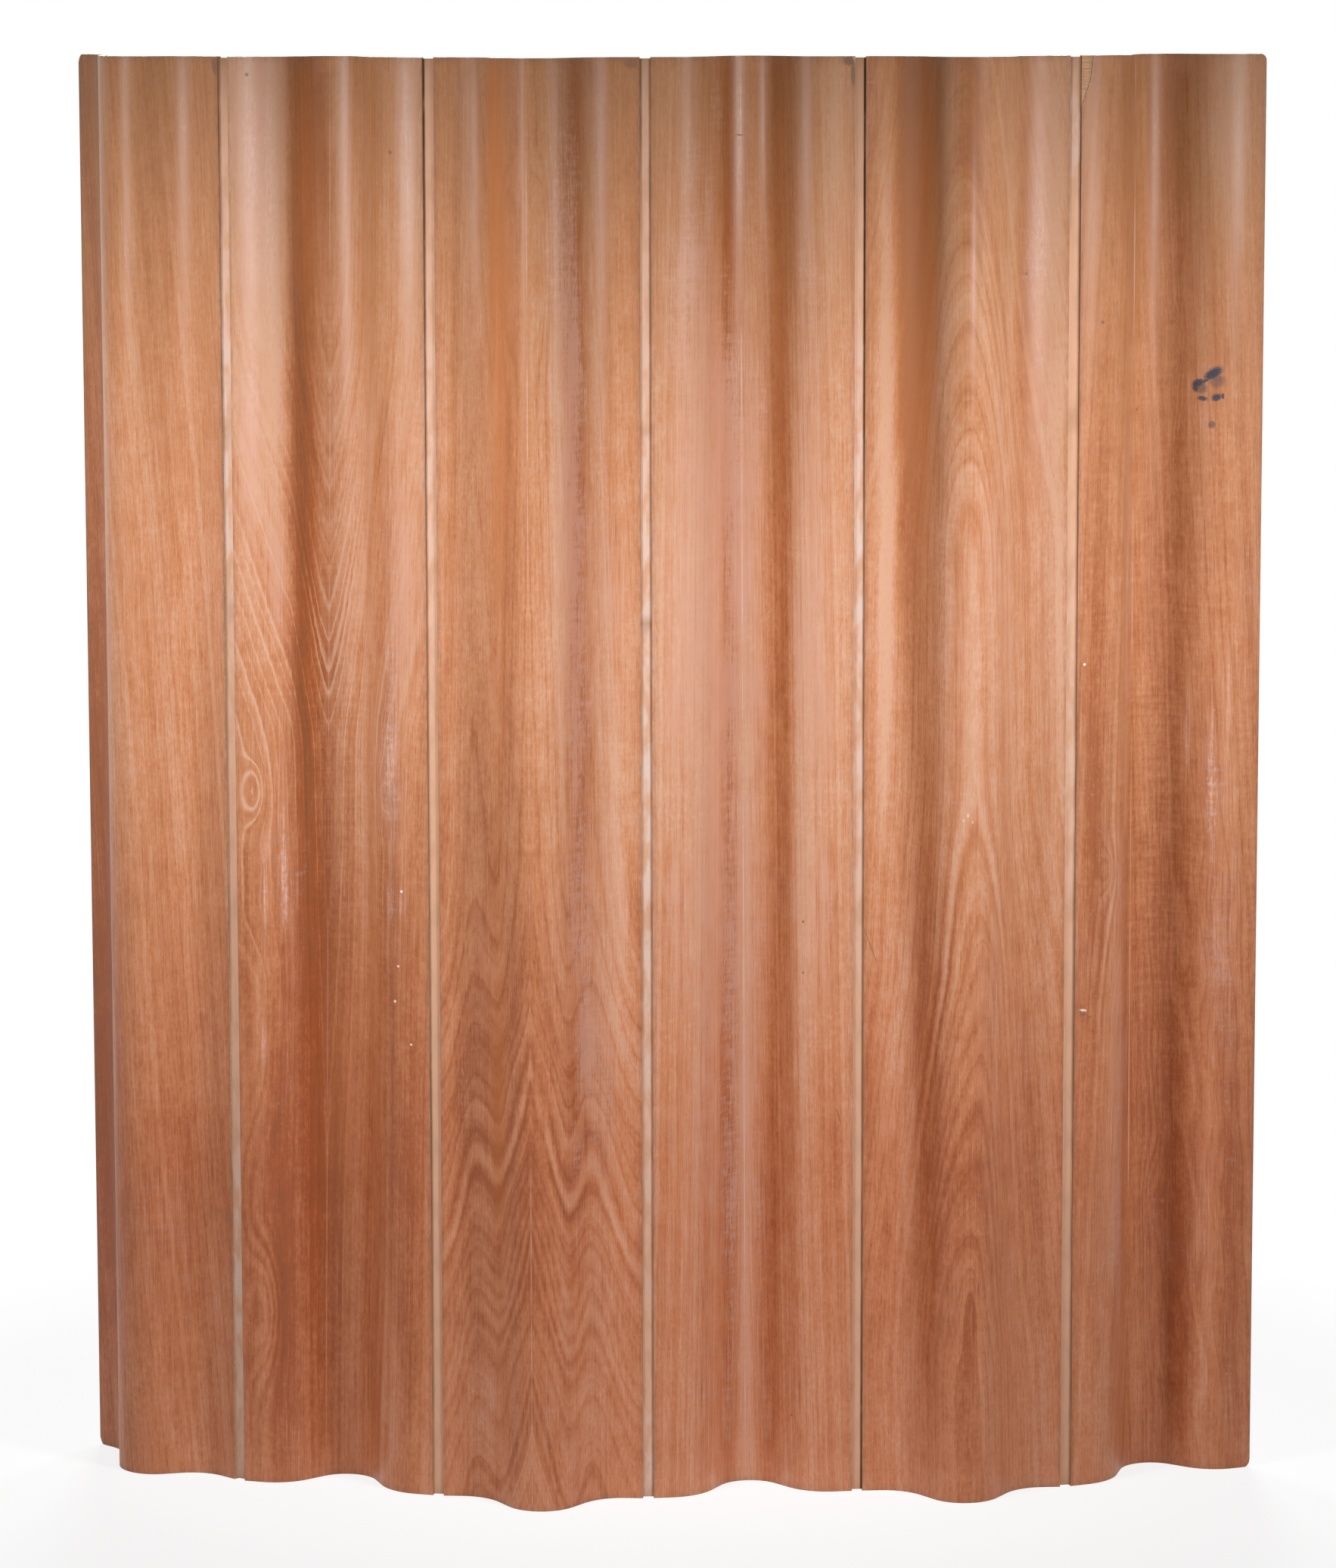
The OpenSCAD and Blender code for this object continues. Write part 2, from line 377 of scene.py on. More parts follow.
# Each table of soft places below holds, for each panel, arc, half width, level, half height and strength.
# Places where a panel is deeper or paler, by the tone added. Some are the wood's own colour; others paint
# shade on walls and flanges that face away from the lamps, such as panel 1's left flange, and paler ones
# paint highlights along the bends.
TONE_AND_SHADE_PATCHES = {
    1: ((-110, 60, 900, 900, 0.60), (0, 12, 1600, 250, 0.20), (20, 10, 1500, 300, -0.10),
        (60, 40, 150, 300, 0.12), (90, 18, 400, 110, 0.14)),
    2: ((-60, 17, 1200, 700, 0.50), (-45, 17, 300, 500, 0.16), (-30, 12, 700, 160, 0.18),
        (-30, 12, 1600, 150, 0.18), (-128, 18, 1450, 330, -0.20), (126, 20, 1500, 300, -0.14),
        (-105, 30, 300, 300, 0.26), (6, 14, 1450, 300, -0.20), (24, 16, 750, 250, -0.24),
        (92, 16, 900, 700, 0.24), (120, 22, 220, 250, 0.22), (-92, 14, 1540, 300, -0.80),
        (45, 24, 130, 120, 0.24), (0, 9, 1640, 110, -0.32), (-58, 20, 1300, 480, 0.55),
        (-30, 16, 380, 140, 0.16), (-134, 12, 680, 130, 0.22), (-30, 14, 1660, 110, 0.50),
        (-30, 14, 850, 300, 0.26), (30, 14, 1000, 450, -0.16), (60, 14, 900, 400, -0.16),
        (90, 12, 1660, 100, 0.30), (90, 14, 130, 110, -0.30), (-134, 12, 150, 110, 0.34),
        (-90, 14, 200, 220, 0.30), (-118, 12, 400, 300, -0.30), (-134, 12, 1660, 90, -0.20)),
    3: ((-30, 15, 1250, 600, 0.34), (112, 26, 850, 480, -0.26), (60, 15, 1150, 600, 0.36),
        (75, 30, 180, 200, -0.20), (-62, 14, 1600, 200, 0.16), (-80, 20, 800, 300, 0.10),
        (118, 30, 500, 250, -0.16), (-134, 12, 1200, 400, -0.12), (-95, 30, 100, 120, -0.16),
        (-15, 18, 400, 130, 0.18), (50, 26, 1300, 500, 0.30), (-30, 22, 1560, 260, 0.24),
        (28, 13, 1250, 480, -0.46), (-118, 22, 500, 200, 0.14), (0, 14, 400, 120, 0.12),
        (120, 14, 800, 200, -0.24), (90, 14, 1400, 220, -0.20), (-134, 12, 480, 180, -0.18),
        (-60, 14, 480, 150, 0.20)),
    4: ((44, 22, 1200, 750, 0.42), (-75, 34, 950, 380, -0.12), (-26, 14, 1350, 500, 0.36),
        (0, 10, 150, 200, -0.14), (35, 14, 250, 300, 0.34), (-120, 24, 1050, 350, -0.10),
        (96, 16, 1350, 300, -0.12), (120, 16, 1620, 200, -0.16), (120, 16, 400, 110, 0.16),
        (92, 14, 700, 200, -0.10), (-28, 16, 700, 700, 0.44), (58, 12, 1050, 500, 0.22),
        (-28, 18, 1620, 180, 0.48), (-32, 14, 500, 250, 0.20), (0, 10, 500, 700, -0.40),
        (122, 14, 1640, 120, -0.30), (90, 14, 700, 400, -0.14)),
    5: ((-88, 18, 1450, 420, 0.80), (-66, 16, 700, 500, 0.26), (130, 14, 900, 900, -0.24),
        (-58, 14, 1600, 250, 0.16), (-40, 24, 250, 240, 0.06), (0, 14, 1650, 110, 0.50),
        (0, 16, 1350, 200, 0.06), (-134, 14, 1670, 120, 0.20), (-94, 16, 1580, 260, 0.60),
        (-95, 30, 480, 180, -0.36), (0, 16, 1660, 110, 0.42), (88, 20, 1500, 280, 0.46),
        (58, 14, 1560, 220, -0.28), (126, 14, 1560, 260, -0.40), (-118, 14, 1350, 380, -0.55),
        (-136, 12, 1450, 350, 0.25), (-118, 12, 950, 250, -0.3), (-45, 22, 480, 250, 0.14)),
    6: ((24, 26, 1100, 900, 0.26), (48, 24, 220, 300, 0.40), (60, 12, 100, 120, 0.2),
        (-120, 22, 1000, 700, 0.22), (62, 14, 700, 150, 0.20), (112, 30, 330, 300, 0.30),
        (95, 18, 1650, 160, -0.36), (-40, 18, 1150, 250, -0.10), (90, 14, 1350, 170, 0.12),
        (28, 18, 1660, 120, 0.36), (105, 26, 1660, 120, -0.44), (5, 12, 1620, 160, 0.18),
        (-100, 24, 1650, 120, 0.20), (-85, 22, 480, 200, -0.14), (-136, 10, 700, 170, -0.26),
        (92, 12, 330, 280, -0.26), (-120, 14, 800, 200, 0.20), (90, 10, 1080, 150, 0.16)),
}
# Where the rings show as crisp pale lines, above 0, and as broad soft bands, below 0
CRISP = {
    1: ((0, 150, 900, 900, 0.15),),
    2: ((-20, 50, 1030, 230, 1.0), (-20, 24, 500, 400, 0.4), (-118, 36, 920, 260, 0.9),
        (84, 30, 850, 120, 0.7), (-115, 34, 230, 170, -0.8), (51, 30, 200, 160, -0.5),
        (90, 30, 900, 140, 0.4)),
    3: ((-7, 160, 330, 330, -0.9), (-12, 36, 1430, 140, -0.9), (4, 9, 500, 300, 0.8)),
    4: ((0, 20, 350, 400, 0.3),),
    5: ((-10, 45, 620, 260, -1.0), (6, 42, 1350, 240, -0.72), (8, 34, 220, 140, -0.8)),
    6: ((30, 40, 1350, 160, 0.4), (-95, 35, 680, 160, -0.5), (14, 25, 300, 250, -0.6)),
}
# Above 0, a pinkish haze that is partly dulled finish and partly painted sheen of the lamps on lit bends and
# flats; below 0, amber that paints the fuller colour of walls in shade
HAZE_AND_SHEEN = {
    1: ((40, 40, 300, 500, 0.15),),
    2: ((112, 26, 1120, 200, 0.65), (-120, 18, 1230, 180, 0.70), (-92, 14, 1110, 90, 0.60),
        (95, 22, 880, 170, 0.40), (-85, 26, 760, 220, 0.30), (-45, 28, 1600, 200, -0.6),
        (-15, 30, 480, 200, -0.6)),
    3: ((60, 20, 1000, 600, 0.30), (75, 55, 750, 600, 0.28), (110, 18, 900, 400, 0.25),
        (74, 22, 560, 60, 0.50), (-101, 20, 560, 120, 0.25), (42, 22, 1350, 420, 0.70),
        (-44, 30, 1420, 420, -0.8), (-60, 22, 480, 160, -0.6), (-60, 16, 1640, 120, -0.5)),
    4: ((-40, 90, 950, 450, 0.52), (95, 30, 950, 420, 0.46), (-60, 70, 400, 350, 0.42),
        (-80, 60, 1350, 400, 0.42), (30, 130, 1200, 400, 0.18), (48, 20, 1300, 480, -0.7)),
    5: ((30, 90, 1050, 420, 0.30), (60, 60, 500, 300, 0.16), (-80, 30, 1450, 380, -0.9),
        (-60, 18, 1500, 320, -0.5), (0, 16, 1650, 120, -0.4)),
    6: ((-85, 45, 450, 300, 0.26), (100, 40, 430, 260, 0.28), (-60, 30, 300, 500, 0.26),
        (-90, 35, 700, 350, 0.28), (100, 35, 850, 350, 0.25), (-50, 16, 1150, 250, 0.35)),
}
# Pale streaks where the finish is rubbed
RUBS = {
    1: ((22, 8, 900, 300, 0.2),),
    2: ((-110, 4, 730, 90, 0.8), (-113, 5, 540, 40, 0.8), (-88, 4, 790, 110, 0.6), (-88, 5, 740, 60, 0.6),
        (-88, 5, 1045, 50, 0.5), (94, 6, 722, 38, 0.7), (112, 7, 725, 28, 0.5), (96, 9, 890, 45, 0.6),
        (100, 20, 980, 120, 0.4)),
    3: ((70, 12, 660, 100, 0.4),),
    5: ((-6, 12, 835, 25, 0.5),),
    6: ((56, 7, 920, 80, 0.7), (87, 6, 830, 130, 0.8), (105, 5, 960, 90, 0.7), (-51, 5, 1060, 130, 0.7),
        (-49, 5, 840, 110, 0.7)),
}
# Where a fine ripple crosses the grain
RIPPLE = {
    2: ((0, 150, 820, 350, 0.7),),
    3: ((90, 50, 950, 350, 0.5),),
    4: ((90, 50, 1000, 350, 0.3),),
    6: ((0, 150, 850, 450, 0.9),),
}
# Painted highlights: whitish bands along the bends where the lamps shine back, near the top
SHEEN_BANDS = {
    1: ((21, 6, 1620, 250, 0.28), (89, 9, 1600, 250, 0.32)),
    2: ((-118, 16, 1600, 330, 0.44), (-93, 9, 1560, 260, 0.30), (5, 8, 1600, 300, 0.42),
        (125, 12, 1620, 240, 0.45)),
    3: ((-93, 7, 1620, 230, 0.30), (-11, 3, 1620, 250, 0.30), (26, 5, 1640, 200, 0.26),
        (98, 9, 1600, 230, 0.32)),
    4: ((-100, 9, 1640, 210, 0.26), (-9, 7, 1640, 190, 0.52), (21, 5, 1660, 130, 0.42),
        (86, 9, 1640, 200, 0.34)),
    5: ((0, 4, 1480, 170, 0.40), (104, 18, 1500, 330, 0.36)),
    6: ((5, 7, 1600, 250, 0.34), (108, 9, 1600, 250, 0.34), (-130, 12, 1560, 250, 0.26)),
}
# Spots, dashes and scratches of each panel: arc, level, half width, half height, turn in degrees, strength
INK_MARKS = {
    6: ((83.5, 1347, 12.5, 6, 33, 0.98), (88, 1338, 9, 8, 20, 0.5), (65.5, 1335, 8.5, 5, 18, 0.95),
        (62, 1330, 4, 6, 0, 0.9), (69, 1329.5, 8, 7, 0, 0.6), (74, 1338, 6, 2.2, 30, 0.9),
        (71, 1317, 6, 3, -5, 0.9), (87.5, 1318.5, 6, 4.2, 20, 0.95), (94.7, 1320, 1.8, 3.8, 0, 0.9),
        (82.3, 1286, 4.2, 4.8, 0, 0.6)),
}
DARK_MARKS = {
    1: ((140, 1716, 5, 10, 10, 0.6),),
    2: ((104, 1616, 2.6, 2.6, 0, 0.6), (-120, 1706, 2.2, 2.2, 0, 0.7)),
    3: ((134, 1720, 8, 6, 0, 0.5),),
    4: ((-8.5, 1634, 4.5, 1.1, -5, 0.75), (85, 699, 1.5, 1.6, 0, 0.8), (85, 637, 1.4, 1.5, 0, 0.7),
        (70, 91, 1.5, 1.6, 0, 0.7), (138, 1722, 9, 6, 0, 0.8), (142, 1706, 3, 15, 0, 0.7),
        (127, 464, 0.8, 10, 15, 0.7)),
    5: ((89, 1472, 1.7, 1.7, 0, 0.8), (-136, 670, 0.7, 27, 20, 0.6)),
    6: ((-115, 1413, 2.0, 2.0, 0, 0.8), (-20, 1303, 1.7, 1.7, 0, 0.7), (-136, 587, 0.8, 9, 0, 0.6),
        (-133, 582, 4, 1.5, 0, 0.7), (-124, 578, 2, 1.5, 0, 0.6)),
}
PALE_MARKS = {
    2: ((111, 738, 1.6, 1.6, 0, 0.9), (106, 647, 1.5, 1.5, 0, 0.8), (101, 604, 1.7, 1.7, 0, 0.9),
        (121.5, 553, 1.4, 1.4, 0, 0.8)),
    5: ((-3, 836, 1.2, 2.5, 0, 0.35), (2, 828, 1.0, 1.8, 0, 0.3), (-8, 830, 1.0, 1.6, 0, 0.3)),
    6: ((-135, 1006, 1.6, 1.6, 0, 0.9), (-133, 587, 4.5, 1.5, -8, 0.7)),
}


def placed(table, k, arc, level, total=0):
    """Total plus each soft place that a table has for panel k: strength * hump of arc * hump of level."""
    for middle, wide, height, high, strength in table.get(k, ()):
        total = total + strength * hump(middle, wide, arc) * hump(height, high, level)
    return total + 0 * arc


def strewn(table, k, face, arc, level, on_back=0.0):
    """Sum of a front's soft places, kept between -1 and 1. The back has one value all over."""
    return np.clip(placed(table, k, arc, level), -1, 1) if face == FRONT else on_back + 0 * arc


def tone(k, face, arc, level):
    """Depth of the wood's colour: a line down the panel plus soft patches, of which some paint shade and
    highlights. The back's are waves.
    """
    if face == BACK:
        waves = 0.10 * np.sin(arc / 45 + k) * np.sin(level / 300 + k)
        return np.interp(level, TONE_LEVELS, TONES[7 - k]) + waves
    return placed(TONE_AND_SHADE_PATCHES, k, arc, level, np.interp(level, TONE_LEVELS, TONES[k]))


def to_seam(k, face, arc, level):
    """Distance to the seam of a front that has one, otherwise None."""
    return np.abs(arc - seam_arc(k, level)) if (k in SEAMS and face == FRONT) else None


# Mesh of a veneer

# Columns and rows close to a border, by their distance from it
INSETS = (0.0, 0.08, 0.25, 1.2)
# Steps of the grids: across and up a veneer, up its broken corner, and up a strip of canvas
COLUMN_STEP, ROW_STEP, CHIP_STEP, CANVAS_STEP = 4.0, 8.0, 1.5, 12.0
# The broken corner of panel 6 at the top of its left edge: levels, and how far it is drawn in at each
CHIP_LEVELS, CHIP_DEPTHS = (1668, 1680, 1700, 1727), (0, 4.5, 11.5, 14.5)
# The small nick at the top of panel 4's right edge: levels over which it opens, and its depth
NICK_LEVELS, NICK_DEPTH = (1718, 1725), 3.5
# How far the leaves of neighbouring panels, and the backs, are laid apart on the flat map
LEAF_PITCH, BACK_SHIFT = 400, 3000
# How far in from an edge the soil fades, and a distance to the seam where there is none
SOILED_EDGE, NO_SEAM = 3.0, 99
# Edges of a mesh that are sharper than this stay sharp.
SHARP_ANGLE = math.radians(35)


def graded(length, step, extra=()):
    """Positions from 0 to length: close together at both ends, and evenly spaced between."""
    inner = np.linspace(INSETS[-1], length - INSETS[-1], int(length / step) + 1)
    ends = np.array(INSETS[:-1])
    return np.unique(np.concatenate([ends, inner, length - ends, extra]).round(4))


def corner_cut(s, level):
    """How far a rounded free corner draws the edge in at a level: r - sqrt(r^2 - (r - t)^2)."""
    r = s.corner_radius / MM
    t = np.clip(np.minimum(level, HEIGHT - level), 0, r)
    return r - np.sqrt(np.maximum(r * r - (r - t) ** 2, 0))


def chip(k, face, side, level):
    """How far a broken edge of the veneer is drawn in at a level."""
    cut = np.zeros_like(level)
    if (face, k, side) == (FRONT, 6, LEFT):
        ragged = 0.5 * np.sin(level * 1.9) + 0.3 * np.sin(level * 0.7 + 1)
        cut = np.interp(level, CHIP_LEVELS, CHIP_DEPTHS) + ragged * (level > CHIP_LEVELS[0] + 2)
    if (face, k, side) == (FRONT, 4, RIGHT):
        cut = NICK_DEPTH * smooth(*NICK_LEVELS, level)
    return cut


def veneer_grid(s, k, face):
    """Arc of every grid point by level, and the insets from the sides. One column runs along the seam."""
    broken = np.arange(CHIP_LEVELS[0] - 8, CHIP_LEVELS[-1] - 1, CHIP_STEP)
    extra = broken if (k, face) == (6, FRONT) else ()
    level = graded(HEIGHT, ROW_STEP, extra)
    whole = half_arc(s)
    left = -whole + chip(k, face, LEFT, level) + (corner_cut(s, level) if k == 1 else 0)
    right = whole - chip(k, face, RIGHT, level) - (corner_cut(s, level) if k == 6 else 0)
    seam = seam_arc(k, level)
    ends = np.array(INSETS)
    columns = int(whole / COLUMN_STEP)
    share = np.linspace(0, 1, columns + 1)[1:]
    near = left[:, None] + ends
    far = (right[:, None] - ends)[:, ::-1]
    before = near[:, -1:] + (seam[:, None] - near[:, -1:]) * share
    after = seam[:, None] + (far[:, :1] - seam[:, None]) * share[:-1]
    arc = np.hstack([near, before, after, far])
    inset = np.full(arc.shape[1], INSETS[-1])
    inset[:len(ends)] = ends
    inset[-len(ends):] = ends[::-1]
    return arc, level, inset


def shell_faces(rows, columns, flip):
    """Quads of a closed sheet of two equal grids, the outer one first, joined along their borders."""
    n = rows * columns
    index = np.arange(n).reshape(rows, columns)
    a, b, c, d = index[:-1, :-1], index[:-1, 1:], index[1:, 1:], index[1:, :-1]
    quads = [np.stack([a, b, c, d], -1).reshape(-1, 4), np.stack([d, c, b, a], -1).reshape(-1, 4) + n]
    low, high, left, right = index[0], index[-1], index[:, 0], index[:, -1]
    for line, turned in ((low, True), (high, False), (left, False), (right, True)):
        wall = np.stack([line[:-1], line[1:], line[1:] + n, line[:-1] + n], -1)
        quads.append(wall[:, ::-1] if turned else wall)
    quads = np.concatenate(quads)
    return quads[:, ::-1] if flip else quads


def make_mesh(name, points, quads, flat=None, marks=None):
    """Object at the origin from arrays: points in metres, quads, a UV map in metres and point attributes."""
    mesh = bpy.data.meshes.new(name)
    mesh.vertices.add(len(points))
    mesh.vertices.foreach_set("co", points.astype(np.float32).ravel())
    mesh.loops.add(quads.size)
    mesh.loops.foreach_set("vertex_index", quads.astype(np.int32).ravel())
    mesh.polygons.add(len(quads))
    mesh.polygons.foreach_set("loop_start", np.arange(0, quads.size, 4, dtype=np.int32))
    mesh.update(calc_edges=True)
    if flat is not None:
        layer = mesh.uv_layers.new(name="Lay")
        layer.data.foreach_set("uv", flat[quads.ravel()].astype(np.float32).ravel())
    for label, values in (marks or {}).items():
        data = mesh.attributes.new(label, "FLOAT", "POINT").data
        data.foreach_set("value", values.astype(np.float32).ravel())
    mesh.shade_smooth()
    mesh.set_sharp_from_angle(angle=SHARP_ANGLE)
    mesh.validate()
    thing = bpy.data.objects.new(name, mesh)
    bpy.context.scene.collection.objects.link(thing)
    return thing


def veneer(s, k, face):
    """Closed sheet between the glue line and the panel's face, with its outer edges eased.

    The outer grid lies at the face less a quarter round: r - sqrt(r^2 - (r - inset)^2) near a border.
    """
    arc, level, inset = veneer_grid(s, k, face)
    r = s.eased_edge / MM
    above = np.minimum(level, HEIGHT - level)
    rounded = [r - np.sqrt(np.maximum(r * r - np.maximum(r - t, 0) ** 2, 0)) for t in (inset, above)]
    sunk = np.maximum(rounded[0][None, :], rounded[1][:, None])
    rows = np.broadcast_to(level[:, None], arc.shape)
    outer = on_panel(s, k, arc, rows, face * (s.outer_face / MM - sunk))
    inner = on_panel(s, k, arc, rows, np.full(arc.shape, face * s.inner_face / MM))
    points = np.concatenate([outer.reshape(-1, 3), inner.reshape(-1, 3)])
    away = to_seam(k, face, arc, rows)
    across = (arc if away is None else away) + LEAF_PITCH * k + BACK_SHIFT * (face == BACK)
    flat = np.stack([across * MM, rows * MM], -1).reshape(-1, 2)
    border = np.minimum(np.minimum(arc - arc[:, :1], arc[:, -1:] - arc), above[:, None])
    marks = {
        "rings": growth(k, face, arc, rows) / RING_WIDTH[k],
        "rubbed": strewn(RUBS, k, face, arc, rows),
        "crisp": strewn(CRISP, k, face, arc, rows, on_back=0.3),
        "tone": tone(k, face, arc, rows),
        "haze": strewn(HAZE_AND_SHEEN, k, face, arc, rows),
        "edge": np.exp(-border / SOILED_EDGE),
        "ripple": strewn(RIPPLE, k, face, arc, rows, on_back=0.2),
        "bloom": strewn(SHEEN_BANDS, k, face, arc, rows),
        "place": k * face + arc * MM,
        "seam": NO_SEAM + 0 * arc if away is None else SEAM_FADE[k] * away,
    }
    side = "front" if face == FRONT else "back"
    return make_mesh(f"panel_{k}_{side}_face", points, shell_faces(*arc.shape, face == BACK),
                     np.tile(flat, (2, 1)), {n: np.tile(v.ravel(), 2) for n, v in marks.items()})


# Node helpers

def add(tree, kind, inputs=None, **settings):
    """One node: settings are its properties, inputs its sockets by name or number, as values or links."""
    made = tree.nodes.new(kind)
    for name, value in settings.items():
        setattr(made, name, value)
    for name, value in (inputs or {}).items():
        if isinstance(value, bpy.types.NodeSocket):
            tree.links.new(value, made.inputs[name])
        else:
            made.inputs[name].default_value = value
    return made


def maths(tree, operation, a, b=0.0, c=0.0, clamp=False):
    return add(tree, "ShaderNodeMath", {0: a, 1: b, 2: c}, operation=operation, use_clamp=clamp).outputs[0]


def ranged(tree, value, low, high, to_low=0.0, to_high=1.0):
    """Smoothstep of a value between two limits."""
    return add(tree, "ShaderNodeMapRange", {"Value": value, "From Min": low, "From Max": high,
                                            "To Min": to_low, "To Max": to_high},
               interpolation_type="SMOOTHSTEP").outputs[0]


def mixed(tree, factor, a, b, blend="MIX"):
    """Two colours mixed by a factor."""
    made = tree.nodes.new("ShaderNodeMix")
    made.data_type = "RGBA"
    made.blend_type = blend
    for name, value in (("Factor_Float", factor), ("A_Color", a), ("B_Color", b)):
        socket = next(i for i in made.inputs if i.identifier == name)
        if isinstance(value, bpy.types.NodeSocket):
            tree.links.new(value, socket)
        elif name == "Factor_Float":
            socket.default_value = value
        else:
            socket.default_value = (*value, 1)
    return next(o for o in made.outputs if o.identifier == "Result_Color")


def summed(tree, first, *terms):
    """first plus each value times its weight."""
    for value, weight in terms:
        first = maths(tree, "MULTIPLY_ADD", value, weight, first)
    return first


def attribute(tree, name):
    return add(tree, "ShaderNodeAttribute", attribute_name=name).outputs["Fac"]


def noise(tree, vector, scale, detail=2.0, roughness=0.5):
    """Noise stretched by a scale for each axis."""
    moved = add(tree, "ShaderNodeMapping", {"Vector": vector, "Scale": scale}).outputs[0]
    return add(tree, "ShaderNodeTexNoise", {"Vector": moved, "Scale": 1.0, "Detail": detail,
                                            "Roughness": roughness}).outputs["Fac"]


def line_noise(tree, value, scale, detail=1.0):
    """Noise along one value."""
    return add(tree, "ShaderNodeTexNoise", {"W": maths(tree, "MULTIPLY", value, scale), "Scale": 1.0,
                                            "Detail": detail}, noise_dimensions="1D").outputs["Fac"]


def new_group(name, inputs, outputs):
    """Empty node group with named float or vector sockets, as its tree, inputs and outputs."""
    tree = bpy.data.node_groups.new(name, "ShaderNodeTree")
    for way, sockets in (("INPUT", inputs), ("OUTPUT", outputs)):
        for label, kind in sockets:
            tree.interface.new_socket(label, in_out=way, socket_type=kind)
    return tree, tree.nodes.new("NodeGroupInput").outputs, tree.nodes.new("NodeGroupOutput").inputs


def use(tree, group, inputs):
    """Outputs of a node group placed in a material."""
    return add(tree, "ShaderNodeGroup", inputs, node_tree=bpy.data.node_groups[group]).outputs


FLOAT, VECTOR = "NodeSocketFloat", "NodeSocketVector"


def growth_ring_group():
    """Lines of the growth rings from the number of rings grown.

    Fine noise on the flat map makes the count ragged, and noise along the count makes the rings differ in
    width. Each ring darkens towards its end, where a thin pale line starts the next. How plain a ring is
    comes from its own number. Bands and waves are noise along the count.
    """
    tree, given, out = new_group("Growth rings", [("Rings", FLOAT), ("Flat", VECTOR)],
                                 [("Line", FLOAT), ("Ramp", FLOAT), ("Wave", FLOAT), ("Band", FLOAT)])
    flat = given["Flat"]
    rings = summed(tree, given["Rings"], (noise(tree, flat, (90, 20, 1), 3.0, 0.6), 0.5),
                   (noise(tree, flat, (520, 60, 1), 2.0), 0.2))
    uneven = maths(tree, "MULTIPLY_ADD", line_noise(tree, rings, 0.45, 2.0), 2.6, rings)
    part = maths(tree, "FRACT", uneven)
    number = maths(tree, "FLOOR", uneven)
    plain = ranged(tree, line_noise(tree, maths(tree, "ADD", number, 0.5), 1.37), 0.34, 0.62)
    off = maths(tree, "ABSOLUTE", maths(tree, "SUBTRACT", part, 0.5))
    tree.links.new(maths(tree, "MULTIPLY", ranged(tree, off, 0.24, 0.02), plain), out["Line"])
    later = maths(tree, "ADD", uneven, 0.5)
    grown = maths(tree, "FRACT", later)
    own = maths(tree, "ADD", maths(tree, "FLOOR", later), 0.3)
    strong = ranged(tree, line_noise(tree, own, 1.37), 0.30, 0.62, 0.25, 1.0)
    ramp = maths(tree, "MULTIPLY", maths(tree, "POWER", grown, 3.0), ranged(tree, grown, 1.0, 0.90))
    tree.links.new(maths(tree, "MULTIPLY", ramp, strong), out["Ramp"])
    for name, scale in (("Wave", 0.9), ("Band", 0.22)):
        tree.links.new(maths(tree, "SUBTRACT", line_noise(tree, rings, scale), 0.5), out[name])


def wood_fibre_group():
    """Texture along the grain, on a flat map in metres, as noise drawn out in length.

    Fibre is fine streaks, Mottle small blotches, Blotch larger ones, Cloud slow patches, Fleck short marks
    across the grain, all centred on 0. Pores are short dark dashes from 0 to 1.
    """
    names = ("Fibre", "Mottle", "Blotch", "Cloud", "Fleck")
    tree, given, out = new_group("Wood fibre", [("Flat", VECTOR)], [(n, FLOAT) for n in (*names, "Pores")])
    flat = given["Flat"]
    streaks = summed(tree, maths(tree, "MULTIPLY", noise(tree, flat, (380, 5, 1), 3.0, 0.65), 0.8),
                     (noise(tree, flat, (1000, 20, 1), 3.0, 0.65), 1.0))
    kinds = (
        maths(tree, "ADD", streaks, -0.4),
        noise(tree, flat, (300, 110, 1), 4.0, 0.7),
        noise(tree, flat, (60, 26, 1), 3.0, 0.6),
        noise(tree, flat, (22, 5, 1), 3.0),
        noise(tree, flat, (20, 150, 1), 3.0, 0.65),
    )
    for name, value in zip(names, kinds):
        tree.links.new(maths(tree, "SUBTRACT", value, 0.5), out[name])
    tree.links.new(ranged(tree, noise(tree, flat, (1500, 100, 1), 1.0), 0.60, 0.72), out["Pores"])


def worn_edge_group():
    """Soiled, slightly broken colour along edges: an edge mask broken up by noise."""
    tree, given, out = new_group("Worn edge", [("Edge", FLOAT), ("Flat", VECTOR)], [("Soil", FLOAT)])
    broken = noise(tree, given["Flat"], (260, 60, 1), 3.0)
    grown = maths(tree, "MULTIPLY", given["Edge"], ranged(tree, broken, 0.30, 0.70, 0.2, 1.0))
    tree.links.new(maths(tree, "MULTIPLY", grown, 1.0, clamp=True), out["Soil"])


def mark_group():
    """Spot, dash or scratch: an ellipse about a middle, turned, with a ragged border."""
    names = ("Place", "Middle", "Turn", "Size")
    tree, given, out = new_group("Mark", [(n, VECTOR) for n in names], [("Mask", FLOAT)])
    laid = add(tree, "ShaderNodeMapping", {"Vector": given["Place"], "Location": given["Middle"],
                                           "Rotation": given["Turn"], "Scale": given["Size"]},
               vector_type="TEXTURE").outputs[0]
    off = add(tree, "ShaderNodeVectorMath", {0: laid}, operation="LENGTH").outputs["Value"]
    ragged = noise(tree, given["Place"], (700, 700, 1), 2.0)
    tree.links.new(ranged(tree, maths(tree, "MULTIPLY_ADD", ragged, 1.2, off), 1.9, 1.2), out["Mask"])


